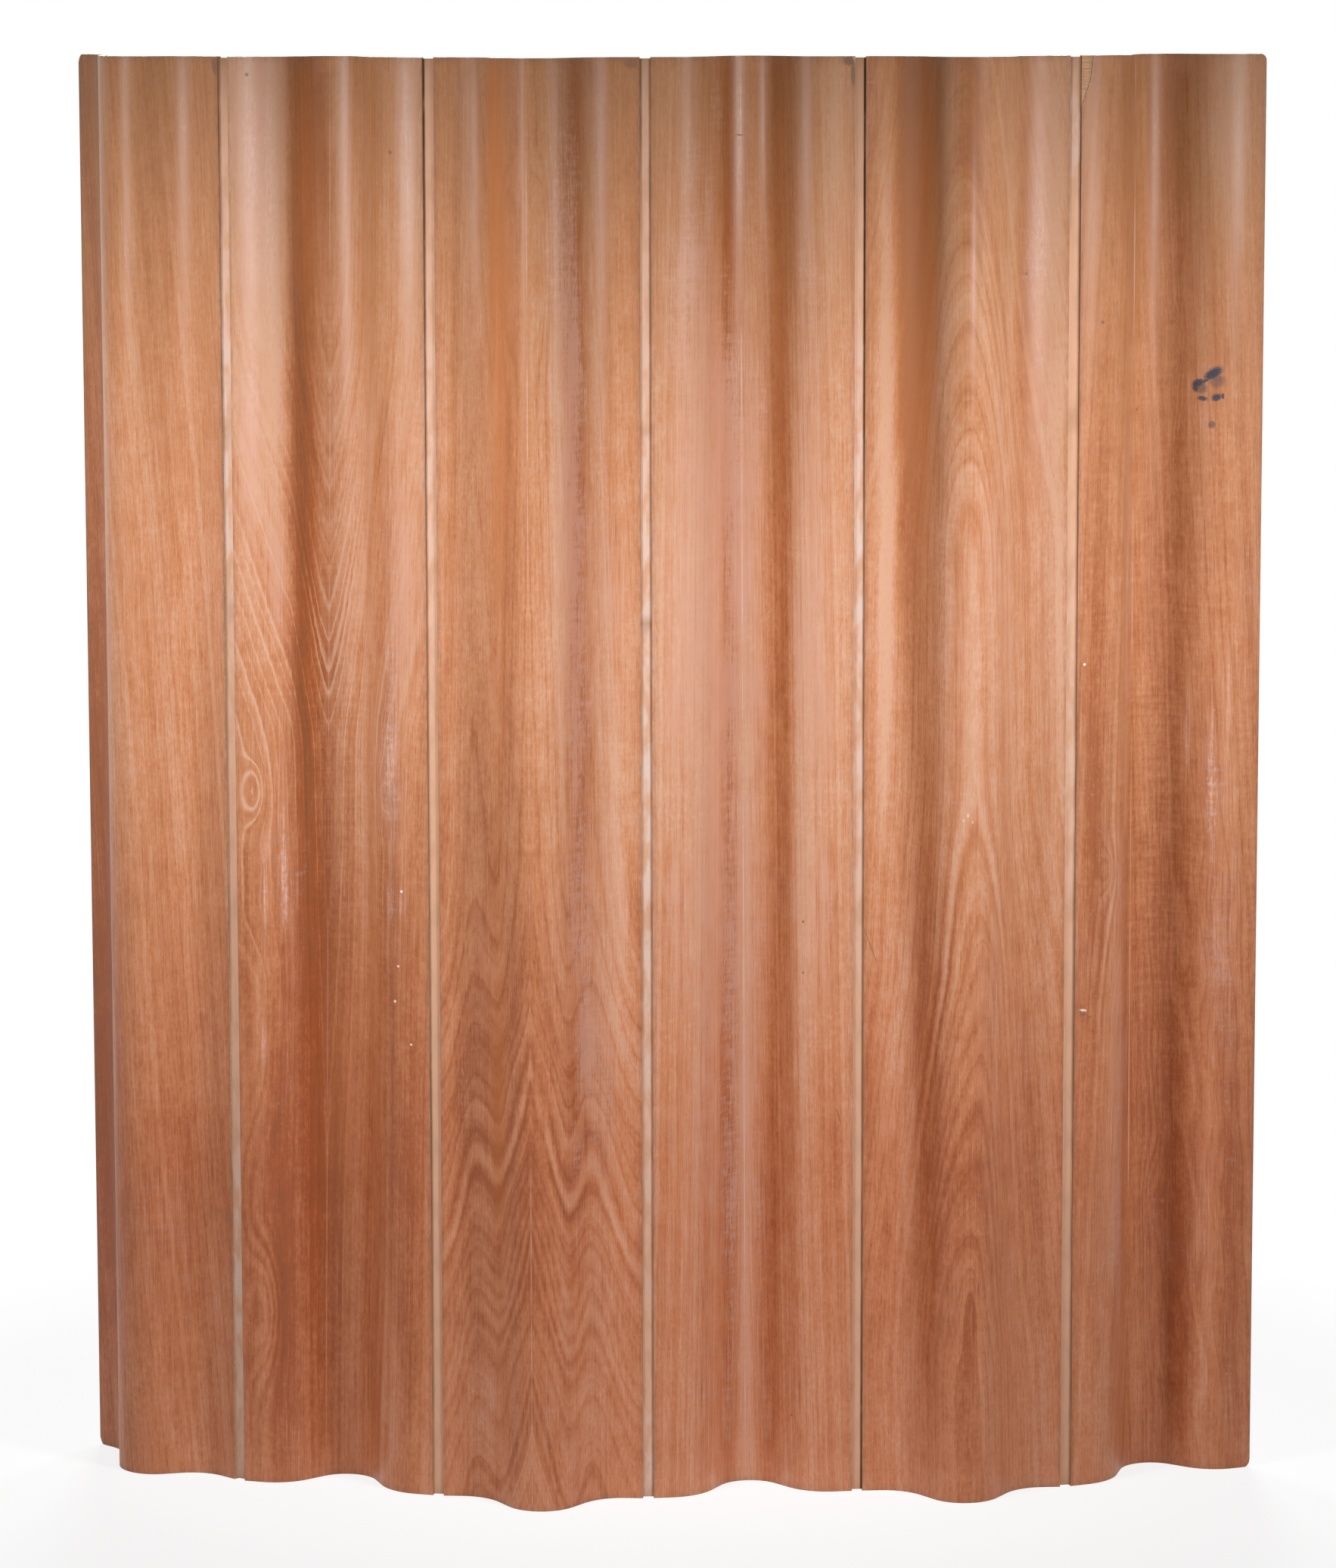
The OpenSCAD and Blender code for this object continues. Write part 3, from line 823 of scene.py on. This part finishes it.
def marked(tree, ground, shade, marks, level):
    """Ground under spots of a colour.

    A place is the panel's number, below 0 on the front and above 0 on the back, plus the arc in metres.
    """
    place = add(tree, "ShaderNodeCombineXYZ", {"X": attribute(tree, "place"), "Y": level}).outputs[0]
    mask = 0.0
    for k, spots in marks.items():
        for arc, high, wide, tall, turn, strength in spots:
            spot = use(tree, "Mark", {"Place": place, "Middle": (FRONT * k + arc * MM, high * MM, 0),
                                      "Turn": (0, 0, math.radians(turn)), "Size": (wide * MM, tall * MM, 1)})
            mask = maths(tree, "MAXIMUM", mask, maths(tree, "MULTIPLY", spot["Mask"], strength))
    return mixed(tree, mask, ground, shade)


def new_material(name, roughness):
    """Material with its tree and Principled shader."""
    material = bpy.data.materials.new(name)
    material.use_nodes = True
    shader = material.node_tree.nodes["Principled BSDF"]
    shader.inputs["Roughness"].default_value = roughness
    return material, material.node_tree, shader


def scaled_colour(shade, factor):
    return tuple(factor * c for c in shade)


# What the rings add to the tone on average, which is taken off again
MEAN_RAMP = 0.09


def veneer_material(f, name):
    """Figured veneer: one tone from pale to dark wood, moved by bands, rings and fibres, under a patchy glaze
    that is partly dulled finish and partly painted sheen.

    The coats lie on each other in this order: wood, darkest where shade is painted, russet low down, tan high
    up, which paints shade, the fuller orange that paints walls in shade, pores, the glaze, painted highlights
    along the bends, rubs and the seam line, which paints a highlight on the joint, soil, marks.
    """
    material, tree, shader = new_material(name, f.roughness)
    shader.inputs["Specular IOR Level"].default_value = 0.45
    flat = add(tree, "ShaderNodeUVMap", uv_map="Lay").outputs[0]
    level = add(tree, "ShaderNodeSeparateXYZ", {0: flat}).outputs["Y"]
    rings = use(tree, "Growth rings", {"Rings": attribute(tree, "rings"), "Flat": flat})
    fibre = use(tree, "Wood fibre", {"Flat": flat})
    soil = use(tree, "Worn edge", {"Edge": attribute(tree, "edge"), "Flat": flat})["Soil"]
    crisp = attribute(tree, "crisp")
    soft = maths(tree, "MAXIMUM", maths(tree, "MULTIPLY", crisp, -1.0), 0.0)
    line = maths(tree, "MULTIPLY", rings["Line"], maths(tree, "MAXIMUM", crisp, 0.0))
    ramp = maths(tree, "MULTIPLY", rings["Ramp"], maths(tree, "MULTIPLY_ADD", soft, 0.12, 0.30))
    wave = maths(tree, "MULTIPLY", rings["Wave"], maths(tree, "MULTIPLY_ADD", soft, 1.1, 0.32))
    haze = attribute(tree, "haze")
    flecked = summed(tree, 0.16, (haze, 0.3), (attribute(tree, "ripple"), 0.42))
    fleck = maths(tree, "MULTIPLY", fibre["Fleck"], flecked)
    tone_here = summed(tree, attribute(tree, "tone"), (rings["Band"], 0.50), (wave, 1.0), (ramp, 0.95),
                       (fibre["Fibre"], 0.72), (fibre["Mottle"], 0.90), (fibre["Blotch"], 0.60),
                       (fibre["Cloud"], 0.50), (fleck, 1.0), (line, -0.75), (MEAN_RAMP, -1.0))
    low, high = ranged(tree, tone_here, 0.0, 0.5), ranged(tree, tone_here, 0.5, 1.0)
    for half in (low, high):
        half.node.interpolation_type = "LINEAR"
    ground = mixed(tree, high, mixed(tree, low, f.pale, f.warm), f.deep)
    # Painted shade: where the tone runs deepest, mostly on walls that face away from the lamps, it goes over
    # into the darkest wood.
    ground = mixed(tree, ranged(tree, tone_here, 0.95, 1.65, 0.0, 0.85), ground, f.dark)
    ground = mixed(tree, ranged(tree, level, 0.90, 0.35), ground, f.russet, "MULTIPLY")
    # Painted shade: the tan darkens the top of the panels to olive-brown.
    height = maths(tree, "MULTIPLY_ADD", fibre["Cloud"], 0.5, level)
    top_shade = maths(tree, "MULTIPLY", ranged(tree, height, 1.0, 1.70, 0.0, 0.5),
                   ranged(tree, tone_here, 1.5, 0.8, 0.45, 1.0))
    ground = mixed(tree, top_shade, ground, f.tan)
    # Painted shade: the fuller orange of walls that face away from the lamps.
    ground = mixed(tree, ranged(tree, haze, 0.0, -1.0, 0.0, 0.6), ground, f.shade_amber)
    ground = mixed(tree, maths(tree, "MULTIPLY", fibre["Pores"], 0.22), ground, f.grime)
    # Partly dulled finish and partly painted sheen of the lamps on lit bends and flats.
    patchy = summed(tree, haze, (fibre["Cloud"], 1.5), (fibre["Mottle"], 1.6), (fibre["Fibre"], -0.8),
                    (fibre["Fleck"], 0.8))
    haze_and_sheen_share = ranged(tree, patchy, 0.20, 0.90, 0.0, 0.62)
    ground = mixed(tree, haze_and_sheen_share, ground, f.haze)
    # Painted highlights along the bends where the lamps shine back.
    sheen_share = maths(tree, "MULTIPLY", attribute(tree, "bloom"),
                    summed(tree, 1.0, (fibre["Fibre"], 0.9), (fibre["Mottle"], 1.1), (fibre["Cloud"], 0.7)))
    ground = mixed(tree, ranged(tree, sheen_share, 0.0, 1.0, 0.0, 0.9), ground, f.bloom)
    # Rubs are real wear; the pale seam line is a painted highlight on the joint. Both take the highlight
    # colour.
    broken = maths(tree, "MULTIPLY", attribute(tree, "rubbed"),
                   summed(tree, 0.75, (fibre["Fibre"], -1.2), (fibre["Mottle"], 2.4), (fibre["Fleck"], 1.0)))
    rub = ranged(tree, broken, 0.15, 1.0, 0.0, 0.45)
    seam = maths(tree, "MULTIPLY", ranged(tree, attribute(tree, "seam"), 1.4, 0.4, 0.0, 0.42),
                 ranged(tree, fibre["Cloud"], -0.10, 0.15))
    ground = mixed(tree, maths(tree, "MAXIMUM", rub, seam), ground, f.bloom)
    ground = mixed(tree, maths(tree, "MULTIPLY", soil, 0.5), ground, f.grime)
    for shade, marks in ((f.ink, INK_MARKS), (f.grime, DARK_MARKS), (f.white, PALE_MARKS)):
        ground = marked(tree, ground, shade, marks, level)
    tree.links.new(ground, shader.inputs["Base Color"])
    worn = ranged(tree, level, 1.1, 0.3, f.roughness, f.roughness + 0.12)
    rough = summed(tree, worn, (fibre["Cloud"], 0.3), (haze_and_sheen_share, 0.1))
    tree.links.new(rough, shader.inputs["Roughness"])
    relief = summed(tree, maths(tree, "MULTIPLY", fibre["Pores"], -0.5), (fibre["Fibre"], -0.6), (ramp, 0.3))
    bump = add(tree, "ShaderNodeBump", {"Strength": 0.3, "Distance": 0.0002, "Height": relief})
    tree.links.new(bump.outputs[0], shader.inputs["Normal"])
    return material


# How fine the fibres of the inner plies are on each axis: the core's run up, the crossbands' run across.
CORE_FIBRES, CROSSBAND_FIBRES = (900, 900, 25), (60, 60, 1300)


def inner_ply_material(f, name, fibres):
    """Raw ply edge: pale and dark fibres along one axis, under patches of grime."""
    material, tree, shader = new_material(name, 0.75)
    place = add(tree, "ShaderNodeTexCoord").outputs["Object"]
    streak = noise(tree, place, fibres, 3.0, 0.6)
    patch = noise(tree, place, (40, 40, 9), 3.0)
    pale, dark, soiled = (scaled_colour(f.inner, factor) for factor in (1.1, 0.55, 0.35))
    ground = mixed(tree, ranged(tree, streak, 0.30, 0.75), pale, dark)
    ground = mixed(tree, ranged(tree, patch, 0.45, 0.70, 0.0, 0.6), ground, soiled)
    tree.links.new(ground, shader.inputs["Base Color"])
    bump = add(tree, "ShaderNodeBump", {"Strength": 0.6, "Distance": 0.0003, "Height": streak})
    tree.links.new(bump.outputs[0], shader.inputs["Normal"])
    return material


def canvas_material(c):
    """Plain weave: warp and weft threads as two crossed waves that pass over and under by turns."""
    material, tree, shader = new_material("Hinge canvas", 0.9)
    shader.inputs["Sheen Weight"].default_value = 0.15
    shader.inputs["Specular IOR Level"].default_value = 0.25
    flat = add(tree, "ShaderNodeUVMap", uv_map="Lay").outputs[0]
    parts = add(tree, "ShaderNodeSeparateXYZ", {0: flat}).outputs
    turn = 2 * math.pi / c.thread
    across, up = (maths(tree, "SINE", maths(tree, "MULTIPLY", parts[axis], turn)) for axis in "XY")
    halves = [maths(tree, "SINE", maths(tree, "MULTIPLY", parts[axis], turn / 2)) for axis in "XY"]
    warp, weft = (maths(tree, "ABSOLUTE", half) for half in halves)
    over = maths(tree, "MULTIPLY", across, up)
    thread = ranged(tree, over, -0.3, 0.3)
    height = maths(tree, "ADD", maths(tree, "MULTIPLY", warp, maths(tree, "MULTIPLY_ADD", over, 0.5, 0.5)),
                   maths(tree, "MULTIPLY", weft, maths(tree, "MULTIPLY_ADD", over, -0.5, 0.5)))
    dirt = noise(tree, flat, (70, 22, 1), 3.0)
    faded = maths(tree, "MULTIPLY", attribute(tree, "bleached"), ranged(tree, dirt, 0.62, 0.38))
    cloth = mixed(tree, faded, c.colour, c.bleached)
    # Painted shade: the low places of the weave, between the threads, are darker.
    ground = mixed(tree, ranged(tree, height, 0.15, 0.75), scaled_colour(c.colour, 0.62), cloth)
    ground = mixed(tree, maths(tree, "MULTIPLY", thread, 0.06), ground, scaled_colour(c.colour, 0.8))
    ground = mixed(tree, ranged(tree, dirt, 0.42, 0.72, 0.0, 0.35), ground, scaled_colour(c.colour, 0.6))
    ground = mixed(tree, attribute(tree, "stained"), ground, c.stain)
    # Painted shadow in the gap between the canvas and the next panel's edge.
    slit = maths(tree, "MULTIPLY", attribute(tree, "slit"), ranged(tree, dirt, 0.25, 0.5, 0.6, 1.0))
    ground = mixed(tree, slit, ground, c.slit)
    tree.links.new(ground, shader.inputs["Base Color"])
    bump = add(tree, "ShaderNodeBump", {"Strength": 0.5, "Distance": 0.0003, "Height": height})
    tree.links.new(bump.outputs[0], shader.inputs["Normal"])
    return material


# Canvas hinges

# Stained places on the strip of each hinge: level, half height, strength
STAINS = {
    1: ((1280, 16, 0.45), (1068, 14, 0.55), (1727, 60, 0.4)),
    3: ((1290, 8, 0.35), (1060, 9, 0.8)),
    4: ((1690, 160, 0.35),),
    5: ((1300, 14, 0.5),),
}
# Painted shadow in the gap along one side of a strip, by hinge and side: levels, and the strength at each
GAP_SHADOWS = {
    (1, LEFT): ((0, 500, 700, 1727), (0.15, 0.15, 0.4, 0.5)),
    (2, LEFT): ((0, 450, 600, 1150, 1400, 1727), (0.2, 0.6, 0.4, 0.35, 0.6, 0.95)),
    (3, LEFT): ((1550, 1650, 1727), (0.0, 0.5, 0.5)),
    (3, RIGHT): ((0, 800, 1560, 1727), (0.3, 0.25, 0.4, 0.2)),
    (4, RIGHT): ((0, 130, 380, 1180, 1290, 1727), (0.95, 0.8, 0.4, 0.3, 0.8, 1.0)),
    (5, LEFT): ((1500, 1600, 1727), (0.0, 0.35, 0.5)),
    (5, RIGHT): ((0, 600, 1250, 1727), (0.35, 0.45, 0.35, 0.5)),
}
# Stretches of a strip that light has bleached: level, half height, strength
BLEACHED = {
    1: ((1270, 260, 0.8), (240, 260, 0.65)),
    2: ((1260, 220, 0.5),),
    3: ((40, 60, 0.8), (900, 520, 0.9)),
    4: ((1180, 220, 0.9), (850, 200, 0.5)),
    5: ((1640, 60, 0.6), (900, 200, 0.4)),
}
# The side of a strip without painted gap shadow, and between which distances past the bend line the painted
# shadow fades out
NO_GAP_SHADOW, GAP_SHADOW_FADE = ((0, HEIGHT), (0, 0)), (0.9, 2.6)
# How much the ends of a strip are stained, and how fast that falls off along it, in mm
END_STAIN, END_STAIN_REACH = 0.6, 14
# Half the width of the stretch across a bend line whose two ends canvas_half returns, in mm
BLEND_REACH = 0.65


def along_strip(table, k, level):
    """Sum of the soft stretches that a table has for hinge k: strength * hump of the level."""
    return sum(strength * hump(at, half, level) for at, half, strength in table.get(k, ())) + 0 * level


def canvas_half(s, c, k, side):
    """One half of a hinge's strip, from its glued edge to the middle of the gap, as a closed sheet.

    Its middle line runs along the panel, turns at the bend line and goes on along the gap. For a distance x
    past the bend, (x + sqrt(x^2 + r^2)) / 2 is the part along the gap, and the same of -x the part along
    the panel, which rounds the turn.
    """
    bends = bend_lines()
    left, right = bends[k]
    _, headings = placements(s)
    web = angle_of(right - left)
    panel, here = (k, left) if side == LEFT else (k + 1, right)
    out = -side * np.array([math.cos(headings[panel]), math.sin(headings[panel])])
    on = -side * np.array([math.cos(web), math.sin(web)])
    glued = (c.tongue + s.bend_out - c.proud) / MM
    gap = math.dist(left, right) / 2
    past = np.concatenate([np.linspace(-glued, -2, 9), np.linspace(-1.75, 1.75, 15), np.linspace(2, gap, 6)])
    r = c.bend_radius / MM
    soft = (past + np.sqrt(past ** 2 + r * r)) / 2
    middle = here + soft[:, None] * on - (soft - past)[:, None] * out
    lay = np.gradient(middle, axis=0)
    lay /= np.linalg.norm(lay, axis=1)[:, None]
    normal = np.stack([lay[:, 1], -lay[:, 0]], axis=1) * (-side)
    short = c.short / MM
    level = graded(HEIGHT - 2 * short, CANVAS_STEP) + short
    shape = (len(level), len(past))
    grids = []
    for face in (FRONT, BACK):
        plan = middle + normal * (-face * c.thickness / MM / 2)
        grid = np.empty((*shape, 3))
        grid[..., :2] = plan
        grid[..., 2] = level[:, None]
        grids.append(grid.reshape(-1, 3) * MM)
    rows = np.broadcast_to(level[:, None], shape)
    flat = np.stack([np.broadcast_to(-side * (gap - past), shape), rows], -1).reshape(-1, 2) * MM
    ends = END_STAIN * np.exp(-np.minimum(rows, HEIGHT - rows) / END_STAIN_REACH)
    marks = {
        "stained": np.clip(ends + along_strip(STAINS, k, rows), 0, 1),
        "bleached": along_strip(BLEACHED, k, rows),
        "slit": np.interp(rows, *GAP_SHADOWS.get((k, side), NO_GAP_SHADOW)) * (1 - smooth(*GAP_SHADOW_FADE, past)),
    }
    name = f"hinge_{k}_canvas_{'left' if side == LEFT else 'right'}"
    piece = make_mesh(name, np.concatenate(grids), shell_faces(*shape, side == RIGHT), np.tile(flat, (2, 1)),
                      {n: np.tile(v.ravel(), 2) for n, v in marks.items()})
    reach = BLEND_REACH * (out + on) / 2
    start, end = here - reach, here + reach
    return piece, panel, [(*p * MM, HEIGHT * MM / 2) for p in (start, end)], (glued + gap) * MM


# Operators

def paint(thing, material):
    thing.data.materials.clear()
    thing.data.materials.append(material)


def finish_veneers(context, face, side):
    """Makes the six veneers of one face, each in place of its solid."""
    scene = context.scene
    for k in PANELS:
        piece = veneer(scene.screen_panels, k, face)
        paint(piece, bpy.data.materials["Face veneer"])
        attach(piece, f"panel_{k}")
        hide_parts(f"panel_{k}_{side}_veneer")


class SCREEN_OT_finishes(bpy.types.Operator):
    """Builds the node groups and materials of the screen"""
    bl_idname = "screen_parts.finishes"
    bl_label = "Finishes"

    def execute(self, context):
        growth_ring_group()
        wood_fibre_group()
        worn_edge_group()
        mark_group()
        finish = context.scene.screen_finish
        veneer_material(finish, "Face veneer")
        inner_ply_material(finish, "Core ply", CORE_FIBRES)
        inner_ply_material(finish, "Crossband ply", CROSSBAND_FIBRES)
        canvas_material(context.scene.screen_canvas)
        return {"FINISHED"}


class SCREEN_OT_front_veneers(bpy.types.Operator):
    """Makes the figured face veneers of the front"""
    bl_idname = "screen_parts.front_veneers"
    bl_label = "Front veneers"

    def execute(self, context):
        finish_veneers(context, FRONT, "front")
        return {"FINISHED"}


class SCREEN_OT_back_veneers(bpy.types.Operator):
    """Makes the plainer face veneers of the back"""
    bl_idname = "screen_parts.back_veneers"
    bl_label = "Back veneers"

    def execute(self, context):
        finish_veneers(context, BACK, "back")
        return {"FINISHED"}


class SCREEN_OT_inner_plies(bpy.types.Operator):
    """Gives the cores and crossbands their raw edges"""
    bl_idname = "screen_parts.inner_plies"
    bl_label = "Inner plies"

    def execute(self, context):
        for name, thing in frame["nodes"].items():
            if name.endswith("crossband"):
                paint(thing, bpy.data.materials["Crossband ply"])
            elif name.endswith("core"):
                paint(thing, bpy.data.materials["Core ply"])
        return {"FINISHED"}


class SCREEN_OT_canvas_hinges(bpy.types.Operator):
    """Makes the canvas strips, each in two halves that bend at their panel's edge"""
    bl_idname = "screen_parts.canvas_hinges"
    bl_label = "Canvas hinges"

    def execute(self, context):
        scene = context.scene
        s, c = scene.screen_panels, scene.screen_canvas
        for k in HINGES:
            left_nodes = (f"hinge_{k}_left_tongue", f"hinge_{k}_web")
            for side, nodes in ((LEFT, left_nodes), (RIGHT, (f"hinge_{k}_right_tongue",))):
                piece, panel, (start, end), width = canvas_half(s, c, k, side)
                paint(piece, bpy.data.materials["Hinge canvas"])
                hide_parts(*nodes)
                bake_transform(piece)
        return {"FINISHED"}


def aim(thing, at, target):
    """Puts a lamp in its place and turns it towards a target, both in metres."""
    thing.location = at
    direction = np.array(target) - np.array(at)
    flat = math.hypot(direction[0], direction[1])
    thing.rotation_euler = (math.atan2(flat, -direction[2]), 0, math.atan2(-direction[0], direction[1]))


# Name, setting of the power, place and target in metres, and half the cone's angle in radians
LAMPS = (
    ("Left lamp", "left_lamp", (-1.375, -1.33, 2.11), (-0.31, 0, 0.94), 0.50),
    ("Right lamp", "right_lamp", (1.55, -1.61, 2.18), (0.21, 0, 0.88), 0.45),
    ("Back left lamp", "back_lamps", (-0.6, 2.0, 2.1), (-0.3, 0, 0.9), 0.60),
    ("Back right lamp", "back_lamps", (0.6, 2.0, 2.1), (0.3, 0, 0.9), 0.60),
)
LAMP_RADIUS = 0.35
# Half the floor's side, and the distances from its middle over which it turns as white as the surround, in
# metres, and how far it has turned white in the middle
FLOOR_HALF, FLOOR_FADE, FLOOR_WHITE = 15, (0.6, 1.4), 0.80
# The photo's height, and the camera fitted to it: focal length and level of its axis in the photo's pixels,
# place in metres, pitch down and roll in degrees
PHOTO_HEIGHT, FOCAL_LENGTH, AXIS_ROW = 2072, 7179, 870
CAMERA_AT, PITCH, ROLL = (-0.0008, -6.459, 1.854), 7.46, -0.11
SENSOR = 36


class SCREEN_OT_studio(bpy.types.Operator):
    """Sets up the floor, the light and the camera"""
    bl_idname = "screen_parts.studio"
    bl_label = "Studio"

    def execute(self, context):
        scene = context.scene
        g = scene.screen_studio
        scene.view_settings.view_transform = "Standard"
        self.floor(g)
        self.world(scene, g)
        for name, power_name, at, target, half_cone in LAMPS:
            self.lamp(name, getattr(g, power_name), at, target, half_cone)
        self.camera(scene)
        return {"FINISHED"}

    def seen_directly(self, tree):
        """1 for camera, glossy and transmission rays, 0 for light that falls on things."""
        path = add(tree, "ShaderNodeLightPath").outputs
        seen = maths(tree, "ADD", path["Is Camera Ray"], path["Is Glossy Ray"])
        return maths(tree, "ADD", seen, path["Is Transmission Ray"], clamp=True)

    def floor(self, g):
        points = FLOOR_HALF * np.array([(-1, -1, 0), (1, -1, 0), (1, 1, 0), (-1, 1, 0)], float)
        floor = make_mesh("studio_floor", points, np.array([[0, 1, 2, 3]]))
        material, tree, shader = new_material("Studio floor", 0.9)
        shader.inputs["Base Color"].default_value = (*g.floor, 1)
        shader.inputs["Specular IOR Level"].default_value = 0.1
        glow = add(tree, "ShaderNodeEmission", {"Color": (1, 1, 1, 1), "Strength": 1.0})
        place = add(tree, "ShaderNodeTexCoord").outputs["Object"]
        away = add(tree, "ShaderNodeVectorMath", {0: place}, operation="LENGTH").outputs["Value"]
        white = ranged(tree, away, *FLOOR_FADE, FLOOR_WHITE, 1.0)
        share = maths(tree, "MULTIPLY", self.seen_directly(tree), white)
        mix = add(tree, "ShaderNodeMixShader", {0: share, 1: shader.outputs[0], 2: glow.outputs[0]})
        tree.links.new(mix.outputs[0], tree.nodes["Material Output"].inputs["Surface"])
        paint(floor, material)

    def world(self, scene, g):
        scene.world = bpy.data.worlds.new("Studio")
        scene.world.use_nodes = True
        tree = scene.world.node_tree
        strength = add(tree, "ShaderNodeMapRange", {"Value": self.seen_directly(tree), "To Min": g.surround,
                                                    "To Max": 1.0}).outputs[0]
        background = tree.nodes["Background"]
        background.inputs["Color"].default_value = (1, 1, 1, 1)
        tree.links.new(strength, background.inputs["Strength"])

    def lamp(self, name, power, at, target, half_cone):
        """Soft spot lamp, aimed at a target."""
        data = bpy.data.lights.new(name, "SPOT")
        data.energy = power
        data.spot_size = 2 * half_cone
        data.spot_blend = 1.0
        data.shadow_soft_size = LAMP_RADIUS
        lamp = bpy.data.objects.new(name, data)
        bpy.context.scene.collection.objects.link(lamp)
        aim(lamp, at, target)

    def camera(self, scene):
        data = bpy.data.cameras.new("Camera")
        data.lens = FOCAL_LENGTH / PHOTO_HEIGHT * SENSOR
        data.sensor_width = SENSOR
        data.shift_y = (AXIS_ROW - PHOTO_HEIGHT / 2) / PHOTO_HEIGHT
        data.clip_start, data.clip_end = 0.1, 100
        camera = bpy.data.objects.new("Camera", data)
        scene.collection.objects.link(camera)
        pitch = Matrix.Rotation(math.radians(90 - PITCH), 3, "X")
        turn = pitch @ Matrix.Rotation(math.radians(ROLL), 3, "Z")
        camera.location = CAMERA_AT
        camera.rotation_euler = turn.to_euler()
        scene.camera = camera


class SCREEN_PT_folding_screen(bpy.types.Panel):
    """Lists the steps that make the screen"""
    bl_idname = "SCREEN_PT_folding_screen"
    bl_label = "Folding screen"
    bl_space_type = "VIEW_3D"
    bl_region_type = "UI"
    bl_category = "Screen"

    def draw(self, context):
        for step in STEPS:
            self.layout.operator(step.bl_idname)


SETTINGS = {
    "screen_panels": SCREEN_PG_panels,
    "screen_finish": SCREEN_PG_finish,
    "screen_canvas": SCREEN_PG_canvas,
    "screen_studio": SCREEN_PG_studio,
}
STEPS = (
    SCREEN_OT_finishes,
    SCREEN_OT_front_veneers,
    SCREEN_OT_back_veneers,
    SCREEN_OT_inner_plies,
    SCREEN_OT_canvas_hinges,
    SCREEN_OT_studio,
)


def register():
    for name, group in SETTINGS.items():
        bpy.utils.register_class(group)
        setattr(bpy.types.Scene, name, PointerProperty(type=group))
    for step in (*STEPS, SCREEN_PT_folding_screen):
        bpy.utils.register_class(step)


def unregister():
    for step in reversed((*STEPS, SCREEN_PT_folding_screen)):
        bpy.utils.unregister_class(step)
    for name, group in SETTINGS.items():
        delattr(bpy.types.Scene, name)
        bpy.utils.unregister_class(group)


def main():
    register()
    bpy.ops.screen_parts.finishes()
    bpy.ops.screen_parts.front_veneers()
    bpy.ops.screen_parts.back_veneers()
    bpy.ops.screen_parts.inner_plies()
    bpy.ops.screen_parts.canvas_hinges()
    bpy.ops.screen_parts.studio()


if __name__ == "__main__":
    main()
